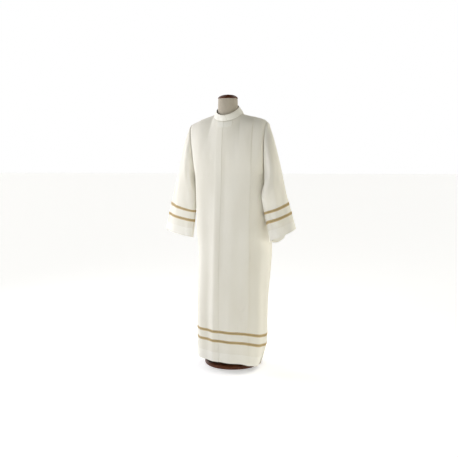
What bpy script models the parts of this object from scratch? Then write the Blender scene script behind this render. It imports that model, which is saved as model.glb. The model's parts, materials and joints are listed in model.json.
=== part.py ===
"""Alb: a long ivory liturgical robe, worn by a limbless dress form on a round wooden base.

Run with blender --background --python part.py, or from Blender's text editor.

Units are metres, +Z is up, and the origin is the middle of the base's underside. The robe faces -Y,
so its wearer's left side is at +X. Each cloth piece is a wall of one thickness round a middle
surface. The body's middle surface runs from horizontal rings, between hem and underarm, into the
neckline and the shoulder seams. A pleat is a fold of that wall: out to its edge, back under itself,
and out again as the side of the body.
"""

import math

import bpy
import numpy as np
from mathutils.bvhtree import BVHTree

# Driving dimensions
CLOTH = 0.0015  # thickness of a cloth wall
SEAM_GAP = 0.0003  # between two pieces that are sewn together
REST_GAP = 0.0005  # between the form and the cloth that rests on it
LAYER_PITCH = 0.0026  # from one layer of a pleat to the next
PLEAT_DEPTH = 0.045  # how far a pleat folds back under itself
FRONT_OVERLAP = 0.030  # how far the left front runs on under the right front
FLAP_RISE = 0.0021  # how far the right front stands off the left front there

HEM_RISE_FRONT = 0.004  # the hem is this much higher in front than at the sides
HEM_RISE_RIGHT = 0.008  # and this much higher on the wearer's right
HEM_ARCH = 0.011  # it arches up by this much across the front
HEM_DROP_LEFT = 0.018  # and hangs lower by this much round the wearer's front left
HEM_TILT_TOP = 0.75  # height where all of that has faded out

BRAID_WIDTH = 0.016
BRAID_THICKNESS = 0.0010
BRAID_LIFT = 0.0004  # from the cloth to the braid on it
HEM_BRAIDS = {"lower": 0.125, "upper": 0.181}  # middle of each braid above the hem's edge
CUFF_BRAIDS = {"left": (0.099, 0.1535), "right": (0.1005, 0.160)}  # and above each cuff's edge
CUFF_BRAID_TILT = {"left": 0.004, "right": 0.005}  # farther from the edge at the outside

SLEEVE_CLEARANCE = 0.0040  # from a sleeve's middle surface to the body's, beside each other
UNDERARM_Z = 1.150
SHOULDER_TIP_Z = {"left": 1.439, "right": 1.433}
SHOULDER_TIP_X = {"left": 0.239, "right": 0.240}
SHOULDER_Y = -0.036  # the shoulder seams lie ahead of the form's axis
ARMHOLE_WIDTH = {"front": 0.044, "back": 0.062}  # from its middle line
ARMHOLE_PULL = 1.15  # how suddenly a side turns in towards it: 1 is evenly from the pleat
ARMHOLE_STEPS = 10  # from the underarm to the shoulder tip

NECK_FRONT = (0.0, -0.104, 1.446)
NECK_SIDE = (0.083, -0.038, 1.485)
NECK_BACK = (0.0, 0.030, 1.513)

COLLAR_TOP_HALF_WIDTH = 0.0640
COLLAR_TOP_FRONT = (-0.114, 1.481)  # y, z
COLLAR_TOP_BACK = (0.019, 1.546)  # y, z
COLLAR_SIDE_LIFT = 0.006  # how far the top edge rises above a straight line at the sides
COLLAR_THICKNESS = 0.0022
COLLAR_OVERLAP = 0.022  # the right end lies over the left end by this much
COLLAR_SLANT = 0.012  # the right end's edge leans back by this much from seam to top
COLLAR_ROUND = 0.50  # the neckline's length
COLLAR_STEPS = 34

TAB_HEIGHT = 0.036  # the tab sewn over the top of the front opening
TAB_BELOW_SEAM = 0.0035
TAB_THICKNESS = 0.0012
TAB_COLUMNS = (-0.036, -0.018, 0.0, 0.006, 0.018, 0.036, 0.054)  # towards the wearer's left

# Body rings, from the hem up to the underarm. The squareness is a superellipse's power: 2 is round,
# and less than 2 draws the side in to a soft edge
RING_COLUMNS = (
    "z", "half_left", "half_right", "side_y", "front_y", "back_y", "square_front", "square_back",
    "pleat_x",
)
BODY_RINGS = (
    (0.042, 0.196, 0.178, -0.050, -0.209, 0.172, 2.6, 1.6, 0.168),
    (0.100, 0.214, 0.179, -0.050, -0.208, 0.173, 2.6, 1.6, 0.171),
    (0.170, 0.232, 0.180, -0.050, -0.207, 0.174, 2.6, 1.6, 0.173),
    (0.260, 0.237, 0.183, -0.050, -0.206, 0.174, 2.5, 1.6, 0.173),
    (0.370, 0.237, 0.185, -0.042, -0.203, 0.173, 2.4, 1.6, 0.172),
    (0.600, 0.245, 0.188, -0.020, -0.190, 0.170, 2.3, 2.0, 0.170),
    (0.700, 0.247, 0.190, -0.014, -0.181, 0.166, 2.3, 2.2, 0.170),
    (0.830, 0.242, 0.200, -0.014, -0.168, 0.158, 2.6, 2.4, 0.170),
    (1.060, 0.233, 0.206, -0.026, -0.145, 0.134, 2.6, 2.8, 0.172),
    (1.150, 0.229, 0.209, -0.036, -0.137, 0.118, 2.6, 3.0, 0.174),
)
SHOULDER_PLEAT_X = 0.172  # where a pleat's edge meets the shoulder seam
PLEAT_IN = {"left": 0.0, "right": 0.012}  # how far a pleat's edge leans in towards the hem
SHOULDER_BULGE = {"left": 0.009, "right": 0.003}  # how far a shoulder seam bows up near its tip

# Sleeve rings: the fold along the outside of the arm, the fold next to the body, the distance from
# front to back, and how far the ring's front is turned outwards, in degrees
SLEEVE_COLUMNS = (
    "outer_x", "outer_y", "outer_z", "inner_x", "inner_y", "inner_z", "thick", "turn",
)
SLEEVE_RINGS = {
    "left": (
        (0.261, -0.037, 1.402, 0.2335, -0.052, 1.122, 0.119, 10),
        (0.280, -0.038, 1.345, 0.237, -0.080, 1.086, 0.125, 22),
        (0.299, -0.036, 1.262, 0.238, -0.108, 1.046, 0.124, 32),
        (0.320, -0.032, 1.160, 0.239, -0.122, 1.010, 0.116, 36),
        (0.341, -0.028, 1.070, 0.242, -0.118, 0.982, 0.112, 35),
        (0.360, -0.0235, 0.985, 0.2465, -0.108, 0.938, 0.108, 34),
        (0.405, -0.020, 0.832, 0.279, -0.100, 0.770, 0.104, 32),
    ),
    "right": (
        (0.259, -0.030, 1.396, 0.2165, -0.048, 1.124, 0.110, 10),
        (0.287, -0.022, 1.330, 0.212, -0.060, 1.088, 0.106, 19),
        (0.318, -0.016, 1.235, 0.209, -0.067, 1.046, 0.098, 23),
        (0.350, -0.011, 1.130, 0.206, -0.072, 1.002, 0.089, 24),
        (0.375, -0.008, 1.048, 0.204, -0.076, 0.966, 0.082, 24),
        (0.399, -0.006, 0.968, 0.205, -0.081, 0.930, 0.077, 24),
        (0.447, -0.004, 0.806, 0.220, -0.092, 0.766, 0.074, 25),
    ),
}

# How far the far side of a cuff hangs lower than its front, at shares of the way round: 0 at the
# outside of the arm, 0.25 in front, 0.5 next to the body and 0.75 behind
CUFF_DROP = {
    "left": ((0.0, 0.0), (0.42, 0.0), (0.50, 0.012), (0.60, 0.025), (0.70, 0.040), (0.76, 0.036),
             (0.82, 0.008), (0.88, 0.0), (1.0, 0.0)),
    "right": ((0.0, 0.0), (0.45, 0.0), (0.62, 0.006), (0.75, 0.007), (0.92, 0.0), (1.0, 0.0)),
}
CUFF_DROP_REACH = 0.24  # and how far above the cuff that has faded out

# The form: rings from its underside up to the neck, where only the sides carry cloth
FORM_COLUMNS = ("z_front", "z_side", "z_back", "half", "side_y", "front_y", "back_y", "square")
FORM_RINGS = (
    (0.800, 0.800, 0.800, 0.150, -0.012, -0.112, 0.092, 2.2),
    (0.812, 0.812, 0.812, 0.160, -0.012, -0.120, 0.100, 2.2),
    (0.900, 0.900, 0.900, 0.172, -0.012, -0.126, 0.108, 2.2),
    (0.980, 0.980, 0.980, 0.162, -0.016, -0.120, 0.096, 2.2),
    (1.060, 1.060, 1.060, 0.152, -0.022, -0.116, 0.082, 2.2),
    (1.150, 1.150, 1.150, 0.164, -0.030, -0.122, 0.080, 2.2),
    (1.240, 1.250, 1.250, 0.180, -0.036, -0.122, 0.078, 2.3),
    (1.300, 1.340, 1.330, 0.192, -0.036, -0.116, 0.072, 2.3),
    (1.350, 1.402, 1.390, 0.204, -0.036, -0.108, 0.060, 2.2),
    (1.385, 1.430, 1.420, 0.203, -0.036, -0.096, 0.038, 2.1),
    (1.400, 1.449, 1.428, 0.187, -0.036, -0.080, 0.010, 2.0),
    (1.418, 1.464, 1.452, 0.150, -0.036, -0.080, 0.008, 2.0),
    (1.432, 1.474, 1.470, 0.108, -0.037, -0.080, 0.005, 2.0),
    (1.446, 1.482, 1.490, 0.076, -0.040, -0.092, 0.012, 2.0),
    (1.470, 1.500, 1.512, 0.0595, -0.045, -0.101, 0.012, 2.0),
    (1.540, 1.540, 1.540, 0.0575, -0.045, -0.103, 0.013, 2.0),
    (1.577, 1.577, 1.577, 0.056, -0.045, -0.101, 0.011, 2.0),
)
FORM_SIDES = 28

BASE_PROFILE = ((0.168, 0.000), (0.1725, 0.005), (0.1725, 0.018), (0.165, 0.027), (0.150, 0.030))
POLE_RADIUS = 0.015
CAP_PROFILE = (
    (0.0578, 0.0003), (0.0576, 0.0034), (0.0545, 0.0092), (0.0455, 0.0158), (0.0300, 0.0212),
    (0.0100, 0.0235),
)
ROUND_SIDES = 32

# Columns across a half panel: shares of the way from its middle to where its pleat turns back.
# The second last is where the neckline meets the shoulder seam
FLAT_STEPS = (0.0, 0.18, 0.36, 0.54, 0.717, 1.0)
SIDE_STEPS = (0.30, 0.65)  # and shares of the way from the pleat to the side seam
FRONT_FLAT = {"left": 8, "right": 9}  # columns of a front up to and with its pleat's edge
BACK_FLAT = len(FLAT_STEPS) + 1
FOLD_COLUMNS = 6  # columns from a pleat's edge to where the side starts to show


# Materials
COLOURS = {
    "alb_cloth": ((0.86, 0.84, 0.77), 0.72, 0.0),
    "gold_braid": ((0.60, 0.46, 0.22), 0.45, 0.35),
    "form_linen": ((0.55, 0.50, 0.42), 0.90, 0.0),
    "dark_wood": ((0.11, 0.035, 0.018), 0.25, 0.0),
    "pole_steel": ((0.55, 0.55, 0.55), 0.30, 1.0),
}


def material(name):
    """A Principled material of the named finish, made once."""
    found = bpy.data.materials.get(name)
    if found:
        return found
    made = bpy.data.materials.new(name)
    made.use_nodes = True
    colour, roughness, metallic = COLOURS[name]
    shader = made.node_tree.nodes["Principled BSDF"]
    shader.inputs["Base Color"].default_value = (*colour, 1.0)
    shader.inputs["Roughness"].default_value = roughness
    shader.inputs["Metallic"].default_value = metallic
    made.diffuse_color = (*colour, 1.0)
    return made


# Curves and tables
def unit(vectors):
    """Vectors at length 1, along the last axis."""
    return vectors / np.maximum(np.linalg.norm(vectors, axis=-1, keepdims=True), 1e-12)


def smooth(share):
    """0 to 1 with flat ends."""
    share = np.clip(share, 0.0, 1.0)
    return share * share * (3 - 2 * share)


def read_table(rows, columns, key, at):
    """The table's columns at a value of its key column, through a curve that never overshoots."""
    table = np.array(rows, float)
    keys = table[:, columns.index(key)]
    place = int(np.clip(np.searchsorted(keys, at) - 1, 0, len(keys) - 2))
    slopes = np.diff(table, axis=0) / np.diff(keys)[:, None]
    tangents = np.zeros_like(table)
    tangents[0], tangents[-1] = slopes[0], slopes[-1]
    same_way = slopes[:-1] * slopes[1:] > 0
    harmonic = 2 * slopes[:-1] * slopes[1:] / np.where(same_way, slopes[:-1] + slopes[1:], 1.0)
    tangents[1:-1] = np.where(same_way, harmonic, 0.0)
    span = keys[place + 1] - keys[place]
    t = (at - keys[place]) / span
    values = (
        (2 * t**3 - 3 * t**2 + 1) * table[place]
        + (t**3 - 2 * t**2 + t) * span * tangents[place]
        + (3 * t**2 - 2 * t**3) * table[place + 1]
        + (t**3 - t**2) * span * tangents[place + 1]
    )
    return dict(zip(columns, values))


def along(points, share):
    """The point at a share, 0 to 1, of a dense polyline's length. Beyond the ends it runs on straight."""
    steps = np.linalg.norm(np.diff(points, axis=0), axis=1)
    length = np.concatenate([[0.0], np.cumsum(steps)])
    at = share * length[-1]
    place = int(np.clip(np.searchsorted(length, at) - 1, 0, len(steps) - 1))
    part = (at - length[place]) / max(steps[place], 1e-9)
    return points[place] * (1 - part) + points[place + 1] * part


# The body's middle surface
DENSE = 160  # points on a ring's quarter, or on the top edge
PLEAT_SHARE = 0.6  # the pleat's place across a half panel, where 0 is its middle and 1 its side
PLEAT_CREST = 0.008  # how far a front pleat stands forward of the smooth body
NECK_SHARE = 0.342  # the place where the neckline meets the shoulder seam


def ring_quarter(side, face, z):
    """A ring's quarter, from the middle of the front or back to the side, and its pleat's place."""
    ring = read_table(BODY_RINGS, RING_COLUMNS, "z", z)
    half = ring["half_" + side]
    turn = np.linspace(0.0, math.pi / 2, DENSE)
    power = 2 / ring["square_" + face]
    across = half * np.sin(turn) ** power
    middle_y = ring[face + "_y"]
    deep = ring["side_y"] + (middle_y - ring["side_y"]) * np.cos(turn) ** power
    fade = 1 - smooth(z / HEM_TILT_TOP)
    way = 1 if side == "left" else -1
    rise = -HEM_RISE_FRONT * deep / 0.2 - HEM_RISE_RIGHT * way * across / half
    rise += HEM_ARCH * smooth((-deep - 0.06) / 0.10)
    if side == "left":
        ahead = 1 - smooth((deep + 0.05) / 0.06)
        rise -= HEM_DROP_LEFT * smooth((across / half - 0.62) / 0.38) * ahead
    points = np.stack([way * across, deep, z + fade * rise], axis=1)
    pleat_x = ring["pleat_x"] - PLEAT_IN[side] * (1 - smooth(z / UNDERARM_Z))
    return points, float(np.interp(pleat_x, across, np.arange(DENSE)))


def split_at(points, place):
    """Two polylines, before and after a fractional index."""
    whole = int(place)
    cut = points[whole] + (place - whole) * (points[whole + 1] - points[whole])
    return np.vstack([points[: whole + 1], cut]), np.vstack([cut, points[whole + 1 :]])


def top_edge(side, face):
    """The neckline and then the shoulder seam, from the middle to the shoulder tip, and its pleat."""
    middle = np.array(NECK_FRONT if face == "front" else NECK_BACK)
    way = 1 if side == "left" else -1
    neck = np.array([way * NECK_SIDE[0], NECK_SIDE[1], NECK_SIDE[2]])
    turn = np.linspace(0.0, math.pi / 2, DENSE // 2)
    share = 1 - np.cos(turn)
    neckline = np.stack(
        [
            neck[0] * np.sin(turn),
            middle[1] + (neck[1] - middle[1]) * share,
            middle[2] + (neck[2] - middle[2]) * share,
        ],
        axis=1,
    )
    tip = np.array([way * SHOULDER_TIP_X[side], SHOULDER_Y, SHOULDER_TIP_Z[side]])
    part = np.linspace(0.0, 1.0, DENSE // 2)[1:]
    seam = neck + part[:, None] * (tip - neck)
    seam[:, 2] += SHOULDER_BULGE[side] * part**4 * (1 - part) / 0.082
    points = np.vstack([neckline, seam])
    pleat = float(np.interp(SHOULDER_PLEAT_X, np.abs(points[:, 0]), np.arange(len(points))))
    return points, pleat


def at_share(curve, share):
    """A half panel's point, where PLEAT_SHARE is the pleat on every ring."""
    points, pleat = curve
    inside, outside = split_at(points, pleat)
    if share <= PLEAT_SHARE:
        return along(inside, share / PLEAT_SHARE)
    return along(outside, (share - PLEAT_SHARE) / (1 - PLEAT_SHARE))


def armhole_point(side, face, share):
    """The armhole's edge, from the underarm at 0 to the shoulder tip at 1."""
    low = at_share(ring_quarter(side, face, UNDERARM_Z), 1.0)
    high = at_share(top_edge(side, face), 1.0)
    z = low[2] + (high[2] - low[2]) * math.sin(share * math.pi / 2)
    middle, half = (low[2] + high[2]) / 2, (high[2] - low[2]) / 2
    width = ARMHOLE_WIDTH[face] * math.sqrt(max(0.0, 1 - ((z - middle) / half) ** 2))
    part = (z - low[2]) / (2 * half)
    forward = -1 if face == "front" else 1
    return np.array([low[0] + (high[0] - low[0]) * part, low[1] + forward * width, z])


def pleat_crest(share, height):
    """How far the front stands forward of the smooth body: most at the pleat, from the waist up."""
    inside = min(max((share - 0.25) / (PLEAT_SHARE - 0.25), 0.0), 1.0) ** 1.5
    outside = min(max((0.98 - share) / (0.98 - PLEAT_SHARE), 0.0), 1.0)
    upright = smooth((height - 0.45) / 0.60) * (1 - smooth((height - UNDERARM_Z - 0.70) / 0.30))
    return PLEAT_CREST * (inside if share <= PLEAT_SHARE else outside) * upright


class Body:
    """The body's middle surface. A height is a ring's z up to the underarm, and above it
    UNDERARM_Z + share, where share 1 is the neckline and shoulder seam."""

    def __init__(self):
        self.curves = {}

    def curve(self, side, face, z):
        key = (side, face, round(z, 6))
        if key not in self.curves:
            self.curves[key] = ring_quarter(side, face, z)
        return self.curves[key]

    def top(self, side, face):
        key = (side, face, "top")
        if key not in self.curves:
            self.curves[key] = top_edge(side, face)
        return self.curves[key]

    def point(self, side, face, share, height):
        here = self.smooth_point(side, face, share, height)
        forward = pleat_crest(share, height) if face == "front" else 0.0
        return here - np.array([0.0, forward, 0.0])

    def smooth_point(self, side, face, share, height):
        if height <= UNDERARM_Z:
            return at_share(self.curve(side, face, height), share)
        rise = min(height - UNDERARM_Z, 1.0)
        low = at_share(self.curve(side, face, UNDERARM_Z), share)
        high = at_share(self.top(side, face), share)
        dome = 0.5 + 0.5 * smooth(share / PLEAT_SHARE)
        level = (1 - dome) * rise + dome * (1 - math.cos(rise * math.pi / 2))
        upright = (1 - dome) * rise + dome * math.sin(rise * math.pi / 2)
        flat = low[:2] + (high[:2] - low[:2]) * level
        here = np.array([flat[0], flat[1], low[2] + (high[2] - low[2]) * upright])
        if share > PLEAT_SHARE:
            edge_flat = self.edge_without_armhole(side, face, rise)
            pull = armhole_point(side, face, rise) - edge_flat
            here = here + pull * ((share - PLEAT_SHARE) / (1 - PLEAT_SHARE)) ** ARMHOLE_PULL
        return here

    def edge_without_armhole(self, side, face, rise):
        low = at_share(self.curve(side, face, UNDERARM_Z), 1.0)
        high = at_share(self.top(side, face), 1.0)
        flat = low[:2] + (high[:2] - low[:2]) * (1 - math.cos(rise * math.pi / 2))
        return np.array([flat[0], flat[1], low[2] + (high[2] - low[2]) * math.sin(rise * math.pi / 2)])

    def lengths(self, side, face, height):
        """Metres along a row from its middle to the pleat, and on to the side."""
        shares = np.linspace(0.0, 1.0, 21)
        points = np.array([self.point(side, face, s, height) for s in shares])
        steps = np.linalg.norm(np.diff(points, axis=0), axis=1)
        cut = int(PLEAT_SHARE * 20 + 0.5)
        return steps[:cut].sum(), steps[cut:].sum()

    def frame(self, side, face, share, height):
        """The point, the direction along the row away from the middle, and the way out. Front and
        back share one way out along the shoulder seam."""
        here, run, out = self.own_frame(side, face, share, height)
        if height >= UNDERARM_Z + 1 and share > 0.75 * NECK_SHARE:
            other = "back" if face == "front" else "front"
            weight = smooth((share / NECK_SHARE - 0.75) / 0.25)
            out = unit(out + weight * self.own_frame(side, other, share, height)[2])
        return here, run, out

    def own_frame(self, side, face, share, height):
        """The same, from this face alone."""
        step = 0.004
        other = "right" if side == "left" else "left"

        def row(at):
            if at >= 0:
                return self.point(side, face, min(at, 1.0), height)
            return self.point(other, face, -at, height)

        low, high = max(height - step, BODY_RINGS[0][0]), min(height + step, UNDERARM_Z + 1)
        here = row(share)
        if share + step <= 1:
            run = row(share + step) - row(share - step)
        else:
            run = here - row(share - step)
        if share >= 0:
            up = self.point(side, face, share, high) - self.point(side, face, share, low)
        else:
            up = self.point(other, face, -share, high) - self.point(other, face, -share, low)
        out = unit(np.cross(run, up))
        if (side == "left") != (face == "front"):
            out = -out
        return here, unit(run), out


BODY = Body()


# Profiles across a half panel: (metres from the middle, rise off the middle surface, and the way
# the wall's face points there as (along, out))
def pleat_profile(to_pleat, to_side, start):
    """One half panel with its pleat, from its middle to the side seam. start lists the columns
    before the pleat, as (along, rise)."""
    radius = LAYER_PITCH / 2
    top = 2 * LAYER_PITCH
    inner = to_pleat - PLEAT_DEPTH
    rows = [(a, rise, 0.0, 1.0) for a, rise in start]
    rows += [
        (to_pleat - radius, top, 0.0, 1.0),
        (to_pleat, top - radius, 1.0, 0.0),
        (to_pleat - radius, top - 2 * radius, 0.0, -1.0),
        (inner + radius, top - 2 * radius, 0.0, -1.0),
        (inner, top - 3 * radius, 1.0, 0.0),
        (inner + radius, 0.0, 0.0, 1.0),
        (to_pleat, 0.0, 0.0, 1.0),
    ]
    rows += [(to_pleat + s * to_side, 0.0, 0.0, 1.0) for s in SIDE_STEPS]
    rows.append((to_pleat + to_side - SEAM_GAP / 2, 0.0, 0.0, 1.0))
    return rows


def place_profile(side, face, height, profile, lengths):
    """A profile's wall middle, its outward direction, and the surface under it, at each column."""
    to_pleat, to_side = lengths
    middle, facing, under = [], [], []
    for distance, rise, turn_along, turn_out in profile:
        if distance <= to_pleat:
            share = distance / to_pleat * PLEAT_SHARE
        else:
            share = PLEAT_SHARE + (distance - to_pleat) / to_side * (1 - PLEAT_SHARE)
        here, run, out = BODY.frame(side, face, share, height)
        middle.append(here + rise * out)
        facing.append(turn_along * run + turn_out * out)
        under.append(here)
    return np.array(middle), unit(np.array(facing)), np.array(under)


def flat_columns(to_pleat, first=0):
    """The plain columns between a panel's middle and where its pleat turns back."""
    inner = to_pleat - PLEAT_DEPTH
    return [(step * inner, 2 * LAYER_PITCH) for step in FLAT_STEPS[first:]]


def front_start(side, to_pleat):
    """Columns of a front before its pleat. The right front ends in a raised flap on the middle
    line, and the left front runs on under it."""
    top = 2 * LAYER_PITCH
    if side == "left":
        return [(-FRONT_OVERLAP, top)] + flat_columns(to_pleat)
    flap = top + FLAP_RISE
    flap_end = FRONT_OVERLAP + 0.008
    near = [(SEAM_GAP, flap), (flap_end / 2, flap), (flap_end, flap), (flap_end + 0.010, top)]
    return near + flat_columns(to_pleat, 2)


# Solids from grids of points
def add_object(name, points, faces, finish, is_smooth=True):
    """One closed mesh object, its faces turned to point out."""
    mesh = bpy.data.meshes.new(name)
    mesh.from_pydata([tuple(p) for p in points], [], faces)
    mesh.validate()
    mesh.calc_loop_triangles()
    corners = np.array([[mesh.vertices[i].co for i in t.vertices] for t in mesh.loop_triangles])
    volume = np.einsum("ij,ij->i", corners[:, 0], np.cross(corners[:, 1], corners[:, 2])).sum()
    if volume < 0:
        mesh.flip_normals()
    mesh.materials.append(material(finish))
    if is_smooth:
        mesh.shade_smooth()
        mesh.set_sharp_from_angle(angle=math.radians(50))
    made = bpy.data.objects.new(name, mesh)
    bpy.context.scene.collection.objects.link(made)
    return made


def wall(name, outside, inside, finish, loop=False, mirrored=()):
    """A closed wall between two grids of points, rows by columns. loop joins the last column to
    the first. Both faces are split along the same diagonals, and along the other ones in the
    mirrored spans, so layers that lie over each other bend alike."""
    rows, columns = outside.shape[:2]
    points = np.vstack([outside.reshape(-1, 3), inside.reshape(-1, 3)])
    back = rows * columns

    def at(row, column):
        return row * columns + column % columns

    faces = []
    spans = columns if loop else columns - 1
    for row in range(rows - 1):
        for column in range(spans):
            low, next_low = at(row, column), at(row, column + 1)
            high, next_high = at(row + 1, column), at(row + 1, column + 1)
            if column in mirrored:
                halves = [low, next_low, high], [next_low, next_high, high]
            else:
                halves = [low, next_low, next_high], [low, next_high, high]
            for half in halves:
                faces.append(half)
                faces.append([back + corner for corner in reversed(half)])
    for column in range(spans):
        low = [at(0, column), at(0, column + 1)]
        high = [at(rows - 1, column), at(rows - 1, column + 1)]
        faces.append([low[1], low[0], back + low[0], back + low[1]])
        faces.append([high[0], high[1], back + high[1], back + high[0]])
    if not loop:
        for row in range(rows - 1):
            first = [at(row, 0), at(row + 1, 0)]
            last = [at(row, columns - 1), at(row + 1, columns - 1)]
            faces.append([first[0], first[1], back + first[1], back + first[0]])
            faces.append([last[1], last[0], back + last[0], back + last[1]])
    return add_object(name, points, faces, finish)


def stack(name, rings, finish):
    """A closed solid through rings of points, capped at both ends."""
    sides = len(rings[0])
    faces = [list(range(sides))[::-1]]
    for row in range(len(rings) - 1):
        for column in range(sides):
            after = (column + 1) % sides
            low, high = row * sides, (row + 1) * sides
            faces.append([low + column, low + after, high + after, high + column])
    top = (len(rings) - 1) * sides
    faces.append(list(range(top, top + sides)))
    return add_object(name, np.vstack(rings), faces, finish)


def turned(name, profile, centre, finish):
    """A turned solid: rings of the profile's radius and height."""
    turn = np.arange(ROUND_SIDES) * 2 * math.pi / ROUND_SIDES
    rings = [
        np.stack(
            [
                centre[0] + radius * np.cos(turn),
                centre[1] + radius * np.sin(turn),
                np.full(ROUND_SIDES, centre[2] + height),
            ],
            axis=1,
        )
        for radius, height in profile
    ]
    return stack(name, rings, finish)


# The robe's body
def body_heights():
    """The rows' heights, from the hem to the neckline and shoulder seams. Each braid's edges are
    rows."""
    hem = BODY_RINGS[0][0]
    edges = [hem + above + part * BRAID_WIDTH / 2 for above in HEM_BRAIDS.values() for part in (-1, 1)]
    kept = [row[0] for row in BODY_RINGS if min(abs(row[0] - edge) for edge in edges) > 0.026]
    lower = sorted(edges + kept)
    turns = np.arange(1, ARMHOLE_STEPS + 1) * math.pi / ARMHOLE_STEPS
    upper = UNDERARM_Z + np.arcsin((1 - np.cos(turns)) / 2) / (math.pi / 2)
    return lower + list(upper)


def half_grid(side, face, start_of):
    """A half panel's wall middle, facing and under-surface, each rows by columns."""
    rows = []
    for height in body_heights():
        lengths = BODY.lengths(side, face, height)
        profile = pleat_profile(*lengths, start_of(lengths[0]))
        rows.append(place_profile(side, face, height, profile, lengths))
    return tuple(np.array(part) for part in zip(*rows))


def draw_back_from_seams(middle, face):
    """Moves the top row off the shoulder seam, and down off the collar, by half a seam's gap."""
    forward = -1 if face == "front" else 1
    middle[-1, :, 1] += forward * SEAM_GAP * 0.6
    middle[-1, :, 2] -= SEAM_GAP * 0.6


def panel(name, middle, facing, under_layers):
    half = CLOTH / 2
    outside, inside = middle + half * facing, middle - half * facing
    return wall(name, outside, inside, "alb_cloth", mirrored=under_layers)


def make_fronts():
    """Both fronts. Returns the outer face of each and its facing, and the surfaces under them."""
    faces, unders = {}, []
    for side in ("left", "right"):
        start = lambda to_pleat, s=side: front_start(s, to_pleat)
        middle, facing, under = half_grid(side, "front", start)
        draw_back_from_seams(middle, "front")
        if side == "right":
            # the flap's corner goes under the collar
            middle[-1, :3] += 0.05 * (middle[-2, :3] - middle[-1, :3])
        panel("front_" + side, middle, facing, [FRONT_FLAT[side] + 1])
        faces[side] = (middle + CLOTH / 2 * facing, facing)
        unders.append(under)
    return faces, unders


def make_back():
    """The back, in one piece from side seam to side seam."""
    right, left = (half_grid(side, "back", flat_columns) for side in ("right", "left"))
    middle, facing, under = (
        np.concatenate([one[:, :0:-1], other], axis=1) for one, other in zip(right, left)
    )
    draw_back_from_seams(middle, "back")
    centre = middle.shape[1] // 2
    panel("back", middle, facing, [centre + BACK_FLAT + 1, centre - BACK_FLAT - 2])
    return (middle + CLOTH / 2 * facing, facing), under


# Braids lie on a panel: its own outer points, moved out
def braid_on(name, face, facing, rows, loop=False):
    """A braid on a grid's outer face, between two neighbouring rows."""
    base, away = face[rows[0] : rows[1] + 1], facing[rows[0] : rows[1] + 1]
    inside = base + BRAID_LIFT * away
    outside = base + (BRAID_LIFT + BRAID_THICKNESS) * away
    return wall(name, outside, inside, "gold_braid", loop)


def make_hem_braids(fronts, back):
    """Two braids round the hem, each in the stretches that show between the pleats."""
    back_face, back_facing = back
    columns = back_face.shape[1]
    middle = columns // 2
    stretches = {"back": (back_face, back_facing, middle - BACK_FLAT + 1, middle + BACK_FLAT)}
    for side in ("left", "right"):
        face, facing = fronts[side]
        first = 1 if side == "left" else 0
        stretches["front_" + side] = (face, facing, first, FRONT_FLAT[side])
        from_front = slice(FRONT_FLAT[side] - 1 + FOLD_COLUMNS, None)
        reach = middle + BACK_FLAT - 1 + FOLD_COLUMNS
        if side == "left":
            from_back = slice(columns - 1, reach - 1, -1)
        else:
            from_back = slice(0, columns - reach)
        joined = [
            np.concatenate([one[:, from_front], other[:, from_back]], axis=1)
            for one, other in ((face, back_face), (facing, back_facing))
        ]
        stretches["side_" + side] = (*joined, 0, joined[0].shape[1])
    heights = body_heights()
    for level, above in HEM_BRAIDS.items():
        low = heights.index(BODY_RINGS[0][0] + above - BRAID_WIDTH / 2)
        for place, (face, facing, first, last) in stretches.items():
            name = f"braid_hem_{level}_{place}"
            braid_on(name, face[:, first:last], facing[:, first:last], (low, low + 1))


def make_tab():
    """The small tab sewn over the top of the front opening, just below the collar."""
    top_z = UNDERARM_Z + 1
    low = BODY.point("left", "front", 0.0, top_z - 0.1)
    per_height = np.linalg.norm(BODY.point("left", "front", 0.0, top_z) - low) / 0.1
    inside, outside = [], []
    for drop in (TAB_BELOW_SEAM + TAB_HEIGHT, TAB_BELOW_SEAM + TAB_HEIGHT / 2, TAB_BELOW_SEAM):
        height = top_z - drop / per_height
        row_in, row_out = [], []
        for distance in TAB_COLUMNS:
            side = "left" if distance >= 0 else "right"
            share = abs(distance) / BODY.lengths(side, "front", height)[0] * PLEAT_SHARE
            here, _, away = BODY.frame(side, "front", share, height)
            step = FLAP_RISE * (1 - smooth((distance - 0.004) / 0.014))
            rise = 2 * LAYER_PITCH + step + CLOTH / 2 + 2 * SEAM_GAP
            row_in.append(here + rise * away)
            row_out.append(here + (rise + TAB_THICKNESS) * away)
        inside.append(row_in)
        outside.append(row_out)
    wall("closure_tab", np.array(outside), np.array(inside), "alb_cloth")


# Sleeves
def armhole_loop(side):
    """The armhole's points, from the shoulder tip down the front, under the arm and up the back."""
    turns = np.arange(ARMHOLE_STEPS + 1) * math.pi / ARMHOLE_STEPS
    shares = np.arcsin((1 - np.cos(turns)) / 2) / (math.pi / 2)
    front = [armhole_point(side, "front", share) for share in shares[::-1]]
    back = [armhole_point(side, "back", share) for share in shares[1:-1]]
    return np.array(front + back)


def sleeve_ring(side, ring):
    """One ring in the same order as armhole_loop, from a row of the sleeve's table."""
    way = 1 if side == "left" else -1
    outer = np.array([way * ring["outer_x"], ring["outer_y"], ring["outer_z"]])
    inner = np.array([way * ring["inner_x"], ring["inner_y"], ring["inner_z"]])
    turn = math.radians(ring["turn"])
    front = np.array([way * math.sin(turn), -math.cos(turn), 0.0])
    angles = np.arange(2 * ARMHOLE_STEPS) * math.pi / ARMHOLE_STEPS
    centre, reach = (outer + inner) / 2, (outer - inner) / 2
    return (
        centre
        + np.cos(angles)[:, None] * reach
        + np.sin(angles)[:, None] * front * ring["thick"] / 2
    )


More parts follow.
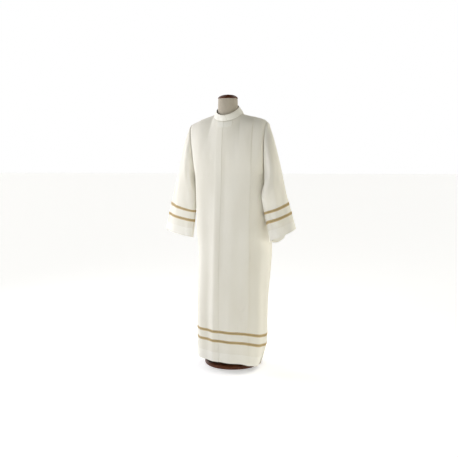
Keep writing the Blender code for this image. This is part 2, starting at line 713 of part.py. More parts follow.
def keep_off_body(side, ring):
    """Moves a sleeve's points outwards where they would come closer than the clearance."""
    way = 1 if side == "left" else -1
    for point in ring:
        row = read_table(BODY_RINGS, RING_COLUMNS, "z", min(point[2], UNDERARM_Z))
        face = "front" if point[1] < row["side_y"] else "back"
        power = row["square_" + face]
        deep = min(1.0, (point[1] - row["side_y"]) / (row[face + "_y"] - row["side_y"]))
        reach = row["half_" + side] * (1 - deep**power) ** (1 / power)
        if way * point[0] < reach + SLEEVE_CLEARANCE:
            point[0] = way * (reach + SLEEVE_CLEARANCE)
    return ring


def loop_facing(grid):
    """The way out at each point of a tube's grid, rows by columns."""
    run = np.roll(grid, -1, axis=1) - np.roll(grid, 1, axis=1)
    down = np.gradient(grid, axis=0)
    out = unit(np.cross(run, down))
    centre = grid.mean(axis=1, keepdims=True)
    flip = np.sign(((grid - centre) * out).sum(axis=2, keepdims=True).mean(axis=1, keepdims=True))
    return out * flip


def drop_far_side(side, grid):
    """Lowers the far side of a sleeve's grid round its cuff, along the sleeve."""
    shares = np.arange(2 * ARMHOLE_STEPS) / (2 * ARMHOLE_STEPS)
    drop = [read_table(CUFF_DROP[side], ("share", "drop"), "share", at)["drop"] for at in shares]
    fade = 1 - smooth(np.linalg.norm(grid - grid[-1], axis=2) / CUFF_DROP_REACH)
    down = unit(np.gradient(grid, axis=0))
    lowered = grid + (fade * np.array(drop))[..., None] * down
    lowered[1:] = [keep_off_body(side, ring) for ring in lowered[1:]]
    return lowered


def sleeve_rows(side):
    """A sleeve's rows, from the armhole to the cuff. Each braid's edges are rows, in place of any
    ring close to them."""
    rings = [dict(zip(SLEEVE_COLUMNS, row)) for row in SLEEVE_RINGS[side]]
    rows = [armhole_loop(side)]
    rows = np.array(rows + [keep_off_body(side, sleeve_ring(side, ring)) for ring in rings])
    steps = np.linalg.norm(np.diff(rows.mean(axis=1), axis=0), axis=1)
    above_cuff = np.concatenate([np.cumsum(steps[::-1])[::-1], [0.0]])
    edges = [up + part * BRAID_WIDTH / 2 for up in CUFF_BRAIDS[side] for part in (-1, 1)]
    edges.sort(reverse=True)
    angles = np.arange(rows.shape[1]) * math.pi / ARMHOLE_STEPS
    tilt = CUFF_BRAID_TILT[side] * np.cos(angles)

    def row_at(edge):
        return np.array(
            [
                [np.interp(edge + lean, above_cuff[::-1], column[::-1, axis]) for axis in range(3)]
                for lean, column in zip(tilt, rows.transpose(1, 0, 2))
            ]
        )

    kept = [row for row, up in zip(rows, above_cuff) if up > edges[0] + 0.02]
    return np.array(kept + [row_at(edge) for edge in edges] + [rows[-1]])


def make_sleeve(side):
    """One sleeve, from the armhole to the cuff, and its two braids."""
    way = 1 if side == "left" else -1
    grid = drop_far_side(side, sleeve_rows(side))
    facing = loop_facing(grid)
    facing[0] = unit(facing[0] * (0.0, 1.0, 1.0))
    grid[0] += np.array([way, 0.0, 0.0]) * (CLOTH / 2 + SEAM_GAP)
    half = CLOTH / 2
    outside, inside = grid + half * facing, grid - half * facing
    wall("sleeve_" + side, outside, inside, "alb_cloth", loop=True)
    last = len(grid) - 1
    for level, upper_row in (("upper", last - 4), ("lower", last - 2)):
        name = f"braid_cuff_{level}_{side}"
        braid_on(name, outside, facing, (upper_row, upper_row + 1), loop=True)


# Collar
def neckline_point(share):
    """The panels' top edge at a share of the way round, from the middle of the front past the
    wearer's left side (0.25) and the back (0.5)."""
    quarter = int(share % 1.0 * 4)
    part = share % 1.0 * 4 - quarter
    side = "left" if quarter < 2 else "right"
    face = "front" if quarter in (0, 3) else "back"
    part = part if quarter in (0, 2) else 1 - part
    height = UNDERARM_Z + 1
    to_pleat = BODY.lengths(side, face, height)[0]
    neck = FLAT_STEPS[-2] * (to_pleat - PLEAT_DEPTH)
    here, _, out = BODY.frame(side, face, part * neck / to_pleat * PLEAT_SHARE, height)
    return here + 2 * LAYER_PITCH * out


def collar_top(low):
    """The collar's top edge above a point of the neckline."""
    turn = math.atan2(low[0], NECK_SIDE[1] - low[1])
    half_y = (COLLAR_TOP_BACK[0] - COLLAR_TOP_FRONT[0]) / 2
    y = (COLLAR_TOP_BACK[0] + COLLAR_TOP_FRONT[0]) / 2 - half_y * math.cos(turn)
    slope = (COLLAR_TOP_BACK[1] - COLLAR_TOP_FRONT[1]) / (2 * half_y)
    z = COLLAR_TOP_FRONT[1] + slope * (y - COLLAR_TOP_FRONT[0])
    z += COLLAR_SIDE_LIFT * math.sin(turn) ** 2
    return np.array([COLLAR_TOP_HALF_WIDTH * math.sin(turn), y, z])


def make_collar():
    """The standing collar, one band round the neck. Its right end laps over its left end."""
    lap = COLLAR_OVERLAP / COLLAR_ROUND
    step_out = COLLAR_THICKNESS + SEAM_GAP
    outside, inside = [], []
    for level in (0.0, 0.5, 1.0):
        row_out, row_in = [], []
        end = 1 + (COLLAR_OVERLAP - level * COLLAR_SLANT) / COLLAR_ROUND
        for part in np.linspace(0.0, 1.0, COLLAR_STEPS + 1):
            share = part * end
            low = neckline_point(share)
            high = collar_top(low)
            along_seam = neckline_point(share + 0.01) - neckline_point(share - 0.01)
            out = unit(np.cross(along_seam, high - low))
            here = low + (high - low) * level
            lapped = smooth((share - 1 + 0.8 * lap) / (0.6 * lap))
            here = here + out * (SEAM_GAP + step_out * lapped)
            here = here + unit(high - low) * (CLOTH / 2 + 4.4 * SEAM_GAP) * (1 - level)
            row_out.append(here + out * COLLAR_THICKNESS / 2)
            row_in.append(here - out * COLLAR_THICKNESS / 2)
        outside.append(row_out)
        inside.append(row_in)
    wall("collar", np.array(outside), np.array(inside), "alb_cloth")


# The dress form
def form_ring(row):
    """A closed ring of the form's body."""
    ring = dict(zip(FORM_COLUMNS, row))
    points = []
    for index in range(FORM_SIDES):
        turn = index * 2 * math.pi / FORM_SIDES
        x, y = math.sin(turn), -math.cos(turn)
        power = 2 / ring["square"]
        across = ring["half"] * math.copysign(abs(x) ** power, x)
        deep = abs(y) ** power
        face = "front" if y < 0 else "back"
        place_y = ring["side_y"] + (ring[face + "_y"] - ring["side_y"]) * deep
        place_z = ring["z_side"] + (ring["z_" + face] - ring["z_side"]) * deep
        points.append((across, place_y, place_z))
    return np.array(points)


def surface_of(grids):
    """One surface to measure down to, from grids of points."""
    points, faces = [], []
    for grid in grids:
        first, columns = len(points), grid.shape[1]
        points += [tuple(point) for point in grid.reshape(-1, 3)]
        for row in range(len(grid) - 1):
            for column in range(columns - 1):
                low = first + row * columns + column
                high = low + columns
                faces.append((low, low + 1, high + 1, high))
    return BVHTree.FromPolygons(points, faces)


def rest_under(rings, surface):
    """Lowers each point that would come closer to the cloth than the form's clearance."""
    below = CLOTH / 2 + REST_GAP
    for ring in rings:
        for point in ring:
            hit = surface.ray_cast((point[0], point[1], 2.0), (0.0, 0.0, -1.0))[0]
            if hit is not None and point[2] > hit[2] - below:
                point[2] = hit[2] - below
    return rings


def make_form(unders):
    """The dress form: padded body, wooden neck cap, pole and round wooden base."""
    rings = rest_under([form_ring(row) for row in FORM_RINGS], surface_of(unders))
    stack("form_body", rings, "form_linen")
    neck = dict(zip(FORM_COLUMNS, FORM_RINGS[-1]))
    turned("form_neck_cap", CAP_PROFILE, (0.0, neck["side_y"], neck["z_side"]), "dark_wood")
    turned("form_base", BASE_PROFILE, (0.0, 0.0, 0.0), "dark_wood")
    base_top = BASE_PROFILE[-1][1] + SEAM_GAP
    body_bottom = FORM_RINGS[0][0] - SEAM_GAP
    pole = ((POLE_RADIUS, base_top), (POLE_RADIUS, body_bottom))
    turned("form_pole", pole, (0.0, 0.0, 0.0), "pole_steel")


def main():
    for old in list(bpy.context.scene.objects):
        bpy.data.objects.remove(old, do_unlink=True)
    fronts, unders = make_fronts()
    back, under_back = make_back()
    make_form(unders + [under_back])
    for side in ("left", "right"):
        make_sleeve(side)
    make_collar()
    make_tab()
    make_hem_braids(fronts, back)


main()
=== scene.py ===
"""Looks for the alb on its dress form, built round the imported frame.

Metres, +Z up, the robe faces -Y and its wearer's left is +X. Each cloth piece is a thin shell on
the same middle surface as its solid, with soft folds, seams, hems and stitches laid on it."""

import json
import math

import bpy
import numpy as np
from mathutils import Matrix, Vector
from mathutils.bvhtree import BVHTree

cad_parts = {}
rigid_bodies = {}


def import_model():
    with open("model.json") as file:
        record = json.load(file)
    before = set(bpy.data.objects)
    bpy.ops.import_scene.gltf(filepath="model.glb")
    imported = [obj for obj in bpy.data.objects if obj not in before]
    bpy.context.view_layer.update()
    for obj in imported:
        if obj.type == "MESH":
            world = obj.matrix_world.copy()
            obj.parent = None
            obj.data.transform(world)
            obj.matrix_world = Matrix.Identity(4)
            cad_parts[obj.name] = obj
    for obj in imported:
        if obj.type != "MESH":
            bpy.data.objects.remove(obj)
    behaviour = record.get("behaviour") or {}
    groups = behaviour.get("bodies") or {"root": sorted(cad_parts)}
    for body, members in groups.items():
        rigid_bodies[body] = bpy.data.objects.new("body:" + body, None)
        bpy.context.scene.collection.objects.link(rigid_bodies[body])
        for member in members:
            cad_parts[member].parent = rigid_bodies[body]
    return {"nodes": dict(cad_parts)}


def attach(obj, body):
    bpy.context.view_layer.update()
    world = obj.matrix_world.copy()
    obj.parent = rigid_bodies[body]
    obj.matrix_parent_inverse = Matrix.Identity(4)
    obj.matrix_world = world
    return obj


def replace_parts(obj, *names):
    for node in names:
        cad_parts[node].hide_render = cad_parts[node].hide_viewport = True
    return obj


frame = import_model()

for item in list(bpy.data.objects):
    if item.name not in frame["nodes"] and not item.name.startswith("body:"):
        bpy.data.objects.remove(item, do_unlink=True)
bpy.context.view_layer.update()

WAY = {"left": 1, "right": -1}  # which way along X a side lies
FORWARD = {"front": -1, "back": 1}  # and along Y, a face

# Sizes shared with the solids
CLOTH = 0.0015
SEAM_GAP = 0.0003
REST_GAP = 0.0005
LAYER_PITCH = 0.0026
PLEAT_DEPTH = 0.045
FRONT_OVERLAP = 0.030
HEM_RISE_FRONT = 0.004
HEM_RISE_RIGHT = 0.008
HEM_ARCH = 0.011
HEM_DROP_LEFT = 0.018
HEM_TILT_TOP = 0.75
BRAID_WIDTH = 0.016
HEM_BRAIDS = {"lower": 0.125, "upper": 0.181}
CUFF_BRAIDS = {"left": (0.099, 0.1535), "right": (0.1005, 0.160)}
CUFF_BRAID_TILT = {"left": 0.004, "right": 0.005}
SLEEVE_CLEARANCE = 0.0040
UNDERARM_Z = 1.150
SHOULDER_TIP_Z = {"left": 1.439, "right": 1.433}
SHOULDER_TIP_X = {"left": 0.239, "right": 0.240}
SHOULDER_Y = -0.036
ARMHOLE_WIDTH = {"front": 0.044, "back": 0.062}
ARMHOLE_PULL = 1.15
NECK_FRONT = (0.0, -0.104, 1.446)
NECK_SIDE = (0.083, -0.038, 1.485)
NECK_BACK = (0.0, 0.030, 1.513)
COLLAR_TOP_HALF_WIDTH = 0.0640
COLLAR_TOP_FRONT = (-0.114, 1.481)
COLLAR_TOP_BACK = (0.019, 1.546)
COLLAR_SIDE_LIFT = 0.006
COLLAR_THICKNESS = 0.0022
COLLAR_OVERLAP = 0.022
COLLAR_SLANT = 0.012
COLLAR_ROUND = 0.50
TAB_HEIGHT = 0.036
TAB_BELOW_SEAM = 0.0035
TAB_SPAN = (-0.036, 0.054)
SHOULDER_PLEAT_X = 0.172
SHOULDER_BULGE = {"left": 0.009, "right": 0.003}
PLEAT_IN = {"left": 0.0, "right": 0.012}
PLEAT_SHARE = 0.6
PLEAT_CREST = 0.008
NECK_SHARE = 0.342
NECK_STEP = 0.717

# Body rings, from the hem up to the underarm
RING_COLUMNS = (
    "z", "half_left", "half_right", "side_y", "front_y", "back_y", "square_front", "square_back",
    "pleat_x",
)
BODY_RINGS = (
    (0.042, 0.196, 0.178, -0.050, -0.209, 0.172, 2.6, 1.6, 0.168),
    (0.100, 0.214, 0.179, -0.050, -0.208, 0.173, 2.6, 1.6, 0.171),
    (0.170, 0.232, 0.180, -0.050, -0.207, 0.174, 2.6, 1.6, 0.173),
    (0.260, 0.237, 0.183, -0.050, -0.206, 0.174, 2.5, 1.6, 0.173),
    (0.370, 0.237, 0.185, -0.042, -0.203, 0.173, 2.4, 1.6, 0.172),
    (0.600, 0.245, 0.188, -0.020, -0.190, 0.170, 2.3, 2.0, 0.170),
    (0.700, 0.247, 0.190, -0.014, -0.181, 0.166, 2.3, 2.2, 0.170),
    (0.830, 0.242, 0.200, -0.014, -0.168, 0.158, 2.6, 2.4, 0.170),
    (1.060, 0.233, 0.206, -0.026, -0.145, 0.134, 2.6, 2.8, 0.172),
    (1.150, 0.229, 0.209, -0.036, -0.137, 0.118, 2.6, 3.0, 0.174),
)

# Sleeve rings, from below the shoulder to the cuff
SLEEVE_COLUMNS = (
    "outer_x", "outer_y", "outer_z", "inner_x", "inner_y", "inner_z", "thick", "turn",
)
SLEEVE_RINGS = {
    "left": (
        (0.261, -0.037, 1.402, 0.2335, -0.052, 1.122, 0.119, 10),
        (0.280, -0.038, 1.345, 0.237, -0.080, 1.086, 0.125, 22),
        (0.299, -0.036, 1.262, 0.238, -0.108, 1.046, 0.124, 32),
        (0.320, -0.032, 1.160, 0.239, -0.122, 1.010, 0.116, 36),
        (0.341, -0.028, 1.070, 0.242, -0.118, 0.982, 0.112, 35),
        (0.360, -0.0235, 0.985, 0.2465, -0.108, 0.938, 0.108, 34),
        (0.405, -0.020, 0.832, 0.279, -0.100, 0.770, 0.104, 32),
    ),
    "right": (
        (0.259, -0.030, 1.396, 0.2165, -0.048, 1.124, 0.110, 10),
        (0.287, -0.022, 1.330, 0.212, -0.060, 1.088, 0.106, 19),
        (0.318, -0.016, 1.235, 0.209, -0.067, 1.046, 0.098, 23),
        (0.350, -0.011, 1.130, 0.206, -0.072, 1.002, 0.089, 24),
        (0.375, -0.008, 1.048, 0.204, -0.076, 0.966, 0.082, 24),
        (0.399, -0.006, 0.968, 0.205, -0.081, 0.930, 0.077, 24),
        (0.447, -0.004, 0.806, 0.220, -0.092, 0.766, 0.074, 25),
    ),
}

FORM_COLUMNS = ("z_front", "z_side", "z_back", "half", "side_y", "front_y", "back_y", "square")
FORM_RINGS = (
    (0.800, 0.800, 0.800, 0.150, -0.012, -0.112, 0.092, 2.2),
    (0.812, 0.812, 0.812, 0.160, -0.012, -0.120, 0.100, 2.2),
    (0.900, 0.900, 0.900, 0.172, -0.012, -0.126, 0.108, 2.2),
    (0.980, 0.980, 0.980, 0.162, -0.016, -0.120, 0.096, 2.2),
    (1.060, 1.060, 1.060, 0.152, -0.022, -0.116, 0.082, 2.2),
    (1.150, 1.150, 1.150, 0.164, -0.030, -0.122, 0.080, 2.2),
    (1.240, 1.250, 1.250, 0.180, -0.036, -0.122, 0.078, 2.3),
    (1.300, 1.340, 1.330, 0.192, -0.036, -0.116, 0.072, 2.3),
    (1.350, 1.402, 1.390, 0.204, -0.036, -0.108, 0.060, 2.2),
    (1.385, 1.430, 1.420, 0.203, -0.036, -0.096, 0.038, 2.1),
    (1.400, 1.449, 1.428, 0.187, -0.036, -0.080, 0.010, 2.0),
    (1.418, 1.464, 1.452, 0.150, -0.036, -0.080, 0.008, 2.0),
    (1.432, 1.474, 1.470, 0.108, -0.037, -0.080, 0.005, 2.0),
    (1.446, 1.482, 1.490, 0.076, -0.040, -0.092, 0.012, 2.0),
    (1.470, 1.500, 1.512, 0.0595, -0.045, -0.101, 0.012, 2.0),
    (1.540, 1.540, 1.540, 0.0575, -0.045, -0.103, 0.013, 2.0),
    (1.577, 1.577, 1.577, 0.056, -0.045, -0.101, 0.011, 2.0),
)
FORM_SIDES, WOOD_SIDES = 112, 160
BASE_PROFILE = ((0.168, 0.000), (0.1725, 0.005), (0.1725, 0.018), (0.165, 0.027), (0.150, 0.030))
CAP_PROFILE = (
    (0.0578, 0.0003), (0.0576, 0.0034), (0.0545, 0.0092), (0.0455, 0.0158), (0.0300, 0.0212),
    (0.0100, 0.0235),
)

# Sizes of the finish
SHEET_HALF = 0.00045  # half the visible cloth's thickness
SHEET_PITCH = 0.0012  # from one layer of a pressed pleat to the next
FLAP_STEP = 0.0016
HEM_DEPTH = 0.058  # the turned-up hem
CUFF_DEPTH = 0.052  # the turned-up cuff
HEM_SWELL_OUT, HEM_SWELL_IN = 0.0003, 0.0009  # how much a turned-up edge adds to each face
FACING_SWELL = 0.0005  # and the folded edge of the right front to its inside
EDGE_ROUND = 0.0012  # the reach over which a cut edge rounds off
STITCH_PITCH = 0.0032
STITCH_DIP, STITCH_REACH = 0.00045, 0.0016  # the groove along a row of hem stitches
SEAM_DIP, SEAM_REACH = 0.0013, 0.0045  # and along a side seam
TOP_SEAM_DIP = 0.0009  # and below the neck and shoulder seams
FLAP_FADE = 0.024  # how far from its edge the right front's lift fades out
DENSE = 640  # points on a ring's quarter
CREST_SHARES = (0.25, 0.98)  # where a front pleat's crest starts and ends across a half panel
CREST_START, CREST_RISE = 0.45, 0.60  # the height where it starts, and takes to be full
CREST_FADE = (0.70, 0.30)  # above the underarm: where it starts to fade, and over how much
EASE_REACH, EASE_FADE = 0.030, 0.070  # the underarm's slope: averaged over, eased within
EASE_SHARES = (0.72, 0.22)  # and it fades out from here, over this, towards the side


# Curves and tables
def unit(vectors):
    return vectors / np.maximum(np.linalg.norm(vectors, axis=-1, keepdims=True), 1e-12)


def smooth(share):
    share = np.clip(share, 0.0, 1.0)
    return share * share * (3 - 2 * share)


def hill(away):
    return np.exp(-np.square(away))


def curve_tangents(keys, values):
    """Tangents of a curve through values that never overshoots them."""
    span = np.diff(keys).reshape((-1,) + (1,) * (values.ndim - 1))
    slopes = np.diff(values, axis=0) / span
    same_way = slopes[:-1] * slopes[1:] > 0
    total = np.where(same_way, slopes[:-1] + slopes[1:], 1.0)
    inner = np.where(same_way, 2 * slopes[:-1] * slopes[1:] / total, 0.0)
    return np.concatenate([slopes[:1], inner, slopes[-1:]])


def curve_values(keys, values, tangents, at, pick=None):
    """The curve at an array of keys. pick chooses one column of values for each of them."""
    at = np.clip(at, keys[0], keys[-1])
    place = np.clip(np.searchsorted(keys, at) - 1, 0, len(keys) - 2)
    span = (keys[place + 1] - keys[place])[..., None]
    t = (at - keys[place])[..., None] / span

    def take(array, index):
        return array[index] if pick is None else array[index, pick]

    return (
        (2 * t**3 - 3 * t**2 + 1) * take(values, place)
        + (t**3 - 2 * t**2 + t) * span * take(tangents, place)
        + (3 * t**2 - 2 * t**3) * take(values, place + 1)
        + (t**3 - t**2) * span * take(tangents, place + 1)
    )


def read_columns(rows, names, key, at):
    """A table's columns at an array of its key's values."""
    table = np.array(rows, float)
    keys = table[:, names.index(key)]
    found = curve_values(keys, table, curve_tangents(keys, table), np.asarray(at, float))
    return {name: found[..., index] for index, name in enumerate(names)}


def lengths(points):
    """Metres along a polyline at each of its points."""
    return np.concatenate([[0.0], np.cumsum(np.linalg.norm(np.diff(points, axis=0), axis=1))])


def round_lengths(loop):
    """Metres round a closed loop, at each of its points and back at the first."""
    return lengths(np.vstack([loop, loop[:1]]))


def along(points, shares):
    """Points at shares, 0 to 1, of a polyline's length."""
    length = lengths(points)
    at = np.asarray(shares) * length[-1]
    return np.stack([np.interp(at, length, points[:, axis]) for axis in range(3)], axis=1)


# Folds. Each is a table of its own line: metres up the cloth, metres across it, how wide the fold
# is there, and how far it stands out (a trough is negative)
FOLD_COLUMNS = ("up", "across", "width", "rise")


def fold_field(folds, up, across):
    """The folds' sum at arrays of metres up and across."""
    total = np.zeros(np.broadcast(up, across).shape)
    for fold in folds:
        line = read_columns(fold, FOLD_COLUMNS, "up", np.ravel(up))
        line = {name: values.reshape(np.shape(up)) for name, values in line.items()}
        inside = (up >= fold[0][0]) & (up <= fold[-1][0])
        shape = hill((across - line["across"]) / line["width"])
        total += np.where(inside, line["rise"], 0.0) * shape
    return total


def unevenness(seed, up, across, high, wide, rise, count=9):
    """Soft waves that differ from place to place, longer up the cloth than across it."""
    random = np.random.default_rng(seed)
    total = np.zeros(np.broadcast(up, across).shape)
    for _ in range(count):
        tall, broad = high * random.uniform(0.6, 1.8), wide * random.uniform(0.6, 1.8)
        lean = random.uniform(-0.25, 0.25)
        phase, turn = random.uniform(0, 2 * math.pi, 2)
        total += np.sin(2 * math.pi * (across + lean * up) / broad + phase) * (
            0.6 + 0.4 * np.sin(2 * math.pi * up / tall + turn)
        )
    return rise * total / math.sqrt(count)


# The body's base surface
def ring_quarters(side, face, z):
    """Ring quarters at an array of heights, and each one's place of the pleat."""
    ring = {k: v[:, None] for k, v in read_columns(BODY_RINGS, RING_COLUMNS, "z", z).items()}
    half = ring["half_" + side]
    turn = np.linspace(0.0, math.pi / 2, DENSE)[None, :]
    power = 2 / ring["square_" + face]
    across = half * np.sin(turn) ** power
    deep = ring["side_y"] + (ring[face + "_y"] - ring["side_y"]) * np.abs(np.cos(turn)) ** power
    fade = 1 - smooth(z / HEM_TILT_TOP)[:, None]
    way = WAY[side]
    rise = -HEM_RISE_FRONT * deep / 0.2 - HEM_RISE_RIGHT * way * across / half
    rise = rise + HEM_ARCH * smooth((-deep - 0.06) / 0.10)
    if side == "left":
        low_side = smooth((across / half - 0.62) / 0.38) * (1 - smooth((deep + 0.05) / 0.06))
        rise = rise - HEM_DROP_LEFT * low_side
    height = z[:, None] + fade * rise
    points = np.stack([way * across, deep, height], axis=2)
    pleat_x = ring["pleat_x"][:, 0] - PLEAT_IN[side] * (1 - smooth(z / UNDERARM_Z))
    place = [np.interp(p, row, np.arange(DENSE)) for p, row in zip(pleat_x, across)]
    return points, np.array(place)


def top_edge(side, face):
    """The neckline and the shoulder seam, and the place of the pleat."""
    middle = np.array(NECK_FRONT if face == "front" else NECK_BACK)
    way = WAY[side]
    neck = np.array([way * NECK_SIDE[0], NECK_SIDE[1], NECK_SIDE[2]])
    turn = np.linspace(0.0, math.pi / 2, DENSE // 2)
    share = 1 - np.cos(turn)
    line = [neck[0] * np.sin(turn)] + [
        middle[axis] + (neck[axis] - middle[axis]) * share for axis in (1, 2)
    ]
    tip = np.array([way * SHOULDER_TIP_X[side], SHOULDER_Y, SHOULDER_TIP_Z[side]])
    part = np.linspace(0.0, 1.0, DENSE // 2)[1:]
    seam = neck + part[:, None] * (tip - neck)
    seam[:, 2] += SHOULDER_BULGE[side] * part**4 * (1 - part) / 0.082
    points = np.vstack([np.stack(line, axis=1), seam])
    return points, float(np.interp(SHOULDER_PLEAT_X, np.abs(points[:, 0]), np.arange(len(points))))


def share_row(points, place, shares):
    """A row's points at shares from its middle to its side, with the pleat at PLEAT_SHARE."""
    whole = int(place)
    cut = points[whole] + (place - whole) * (points[whole + 1] - points[whole])
    near = shares <= PLEAT_SHARE
    inside = along(np.vstack([points[: whole + 1], cut]), shares[near] / PLEAT_SHARE)
    far = (shares[~near] - PLEAT_SHARE) / (1 - PLEAT_SHARE)
    return np.vstack([inside, along(np.vstack([cut, points[whole + 1 :]]), far)])


def armhole_edge(side, face, rise):
    """The armhole's points at an array of rises, 0 at the underarm and 1 at the shoulder tip."""
    quarter, place = ring_quarters(side, face, np.array([UNDERARM_Z]))
    low = share_row(quarter[0], place[0], np.array([1.0]))[-1]
    high = share_row(*top_edge(side, face), np.array([1.0]))[-1]
    z = low[2] + (high[2] - low[2]) * np.sin(rise * math.pi / 2)
    middle, half = (low[2] + high[2]) / 2, (high[2] - low[2]) / 2
    width = ARMHOLE_WIDTH[face] * np.sqrt(np.clip(1 - ((z - middle) / half) ** 2, 0, 1))
    part = (z - low[2]) / (2 * half)
    x = low[0] + (high[0] - low[0]) * part
    y = low[1] + (high[1] - low[1]) * part + FORWARD[face] * width
    return np.stack([x, y, z], axis=1)


def pleat_crest(share, height):
    """How far a front pleat stands forward of the smooth body."""
    low, high = CREST_SHARES
    inside = np.clip((share - low) / (PLEAT_SHARE - low), 0, 1) ** 1.5
    outside = np.clip((high - share) / (high - PLEAT_SHARE), 0, 1)
    fade = smooth((height - UNDERARM_Z - CREST_FADE[0]) / CREST_FADE[1])
    upright = smooth((height - CREST_START) / CREST_RISE) * (1 - fade)
    return PLEAT_CREST * np.where(share <= PLEAT_SHARE, inside, outside) * upright


def ease_underarm(grid, shares):
    """The grid with the change of slope at the underarm's height eased, away from the armhole."""
    level = grid[:, 0, 2]
    room = np.gradient(level)
    near = hill((level[None, :] - level[:, None]) / EASE_REACH) * room[None, :]
    eased = np.einsum("rk,kcj->rcj", near / near.sum(axis=1, keepdims=True), grid[..., :2])
    part = hill((level - level[np.argmin(abs(level - UNDERARM_Z))]) / EASE_FADE)[:, None]
    part = part * (1 - smooth((shares - EASE_SHARES[0]) / EASE_SHARES[1]))[None, :]
    grid[..., :2] += part[..., None] * (eased - grid[..., :2])
    return grid


def face_grid(side, face, heights, shares):
    """A half panel's base surface, rows by columns."""
    lower = heights[heights <= UNDERARM_Z]
    rows = [share_row(*one, shares) for one in zip(*ring_quarters(side, face, lower))]
    quarter, place = ring_quarters(side, face, np.array([UNDERARM_Z]))
    underarm = share_row(quarter[0], place[0], shares)
    top = share_row(*top_edge(side, face), shares)
    dome = 0.5 + 0.5 * smooth(shares / PLEAT_SHARE)
    pull_share = np.clip((shares - PLEAT_SHARE) / (1 - PLEAT_SHARE), 0, 1)[:, None] ** ARMHOLE_PULL
    rises = heights[heights > UNDERARM_Z] - UNDERARM_Z
    for rise, edge in zip(rises, armhole_edge(side, face, rises)):
        level = (1 - dome) * rise + dome * (1 - math.cos(rise * math.pi / 2))
        upright = (1 - dome) * rise + dome * math.sin(rise * math.pi / 2)
        here = underarm + (top - underarm) * np.stack([level, level, upright], axis=1)
        rows.append(here + (edge - here[-1]) * pull_share)
    grid = ease_underarm(np.array(rows), shares)
    if face == "front":
        grid[..., 1] -= pleat_crest(shares[None, :], heights[:, None])
    return grid


def row_heights(step, upper):
    """Rows from the hem to the shoulder, closer together at the hem's edge and its stitches."""
    above = np.concatenate(
        [
            [0.0, 0.0004, 0.001, 0.002, 0.004],
            np.arange(0.008, UNDERARM_Z - BODY_RINGS[0][0] - 0.4 * step, step),
            np.arange(HEM_DEPTH - 0.006, HEM_DEPTH + 0.005, 0.0012),
        ]
    )
    turns = np.linspace(0.10, math.pi, upper)
    rises = np.arcsin((1 - np.cos(turns)) / 2) / (math.pi / 2)
    low = np.unique(np.round(BODY_RINGS[0][0] + above, 5))
    return np.concatenate([low, [UNDERARM_Z], UNDERARM_Z + rises])


SHARES = np.concatenate([np.linspace(0, PLEAT_SHARE, 81), np.linspace(PLEAT_SHARE, 1, 57)[1:]])
GRID_HEIGHTS = row_heights(0.006, 70)


class Surface:
    """The base surface of the whole front or back, columns from the wearer's right to the left."""

    def __init__(self, face):
        self.face = face
        right, left = (face_grid(side, face, GRID_HEIGHTS, SHARES) for side in ("right", "left"))
        self.points = np.concatenate([right[:, :0:-1], left], axis=1)
        self.run = unit(np.gradient(self.points, axis=1))
        out = unit(np.cross(self.run, np.gradient(self.points, axis=0)))
        self.out = out if face == "front" else -out
        steps = np.linalg.norm(np.diff(self.points, axis=1), axis=2)
        across = np.concatenate([np.zeros((len(steps), 1)), np.cumsum(steps, axis=1)], axis=1)
        middle = len(SHARES) - 1
        self.across = across - across[:, middle : middle + 1]
        pleat = int(np.argmin(np.abs(SHARES - PLEAT_SHARE)))
        self.to_pleat = {
            "left": self.across[:, middle + pleat], "right": -self.across[:, middle - pleat],
        }
        self.to_edge = {"left": self.across[:, -1], "right": -self.across[:, 0]}
        self.up = lengths(self.points[:, middle + pleat // 2])

    def share_seam(self, other):
        """Turns both faces' ways out into one along the shoulder seam."""
        near_top = smooth((GRID_HEIGHTS - UNDERARM_Z - 0.93) / 0.07)
        shares = np.concatenate([SHARES[:0:-1], SHARES])
        weight = near_top[:, None] * smooth((shares / NECK_SHARE - 0.75) / 0.25)[None, :]
        mine, theirs = self.out.copy(), other.out.copy()
        self.out = unit(mine + weight[..., None] * theirs)
        other.out = unit(theirs + weight[..., None] * mine)

    def rows(self, heights):
        """The surface's rows at heights in between its own: a list of packed arrays."""
        index = np.interp(heights, GRID_HEIGHTS, np.arange(len(GRID_HEIGHTS)))
        low = np.minimum(index.astype(int), len(GRID_HEIGHTS) - 2)
        part = index - low

        def mixed(array):
            t = part.reshape((-1,) + (1,) * (array.ndim - 1))
            return array[low] * (1 - t) + array[low + 1] * t

        return {
            "packed": mixed(np.concatenate([self.points, self.run, self.out], axis=2)),
            "across": mixed(self.across),
            "up": mixed(self.up)[:, None],
            "to_pleat": {side: mixed(self.to_pleat[side])[:, None] for side in self.to_pleat},
            "to_edge": {side: mixed(self.to_edge[side])[:, None] for side in self.to_edge},
        }

    @staticmethod
    def sample(rows, across):
        """Points, directions along the row and ways out, at metres across each row."""
        columns = np.arange(rows["across"].shape[1])
        found = []
        for packed, marks, at in zip(rows["packed"], rows["across"], across):
            place = np.interp(at, marks, columns)
            low = np.minimum(place.astype(int), len(columns) - 2)
            part = (place - low)[:, None]
            found.append(packed[low] * (1 - part) + packed[low + 1] * part)
        found = np.array(found)
        return found[..., :3], unit(found[..., 3:6]), unit(found[..., 6:9])


FRONT, BACK = Surface("front"), Surface("back")
FRONT.share_seam(BACK)

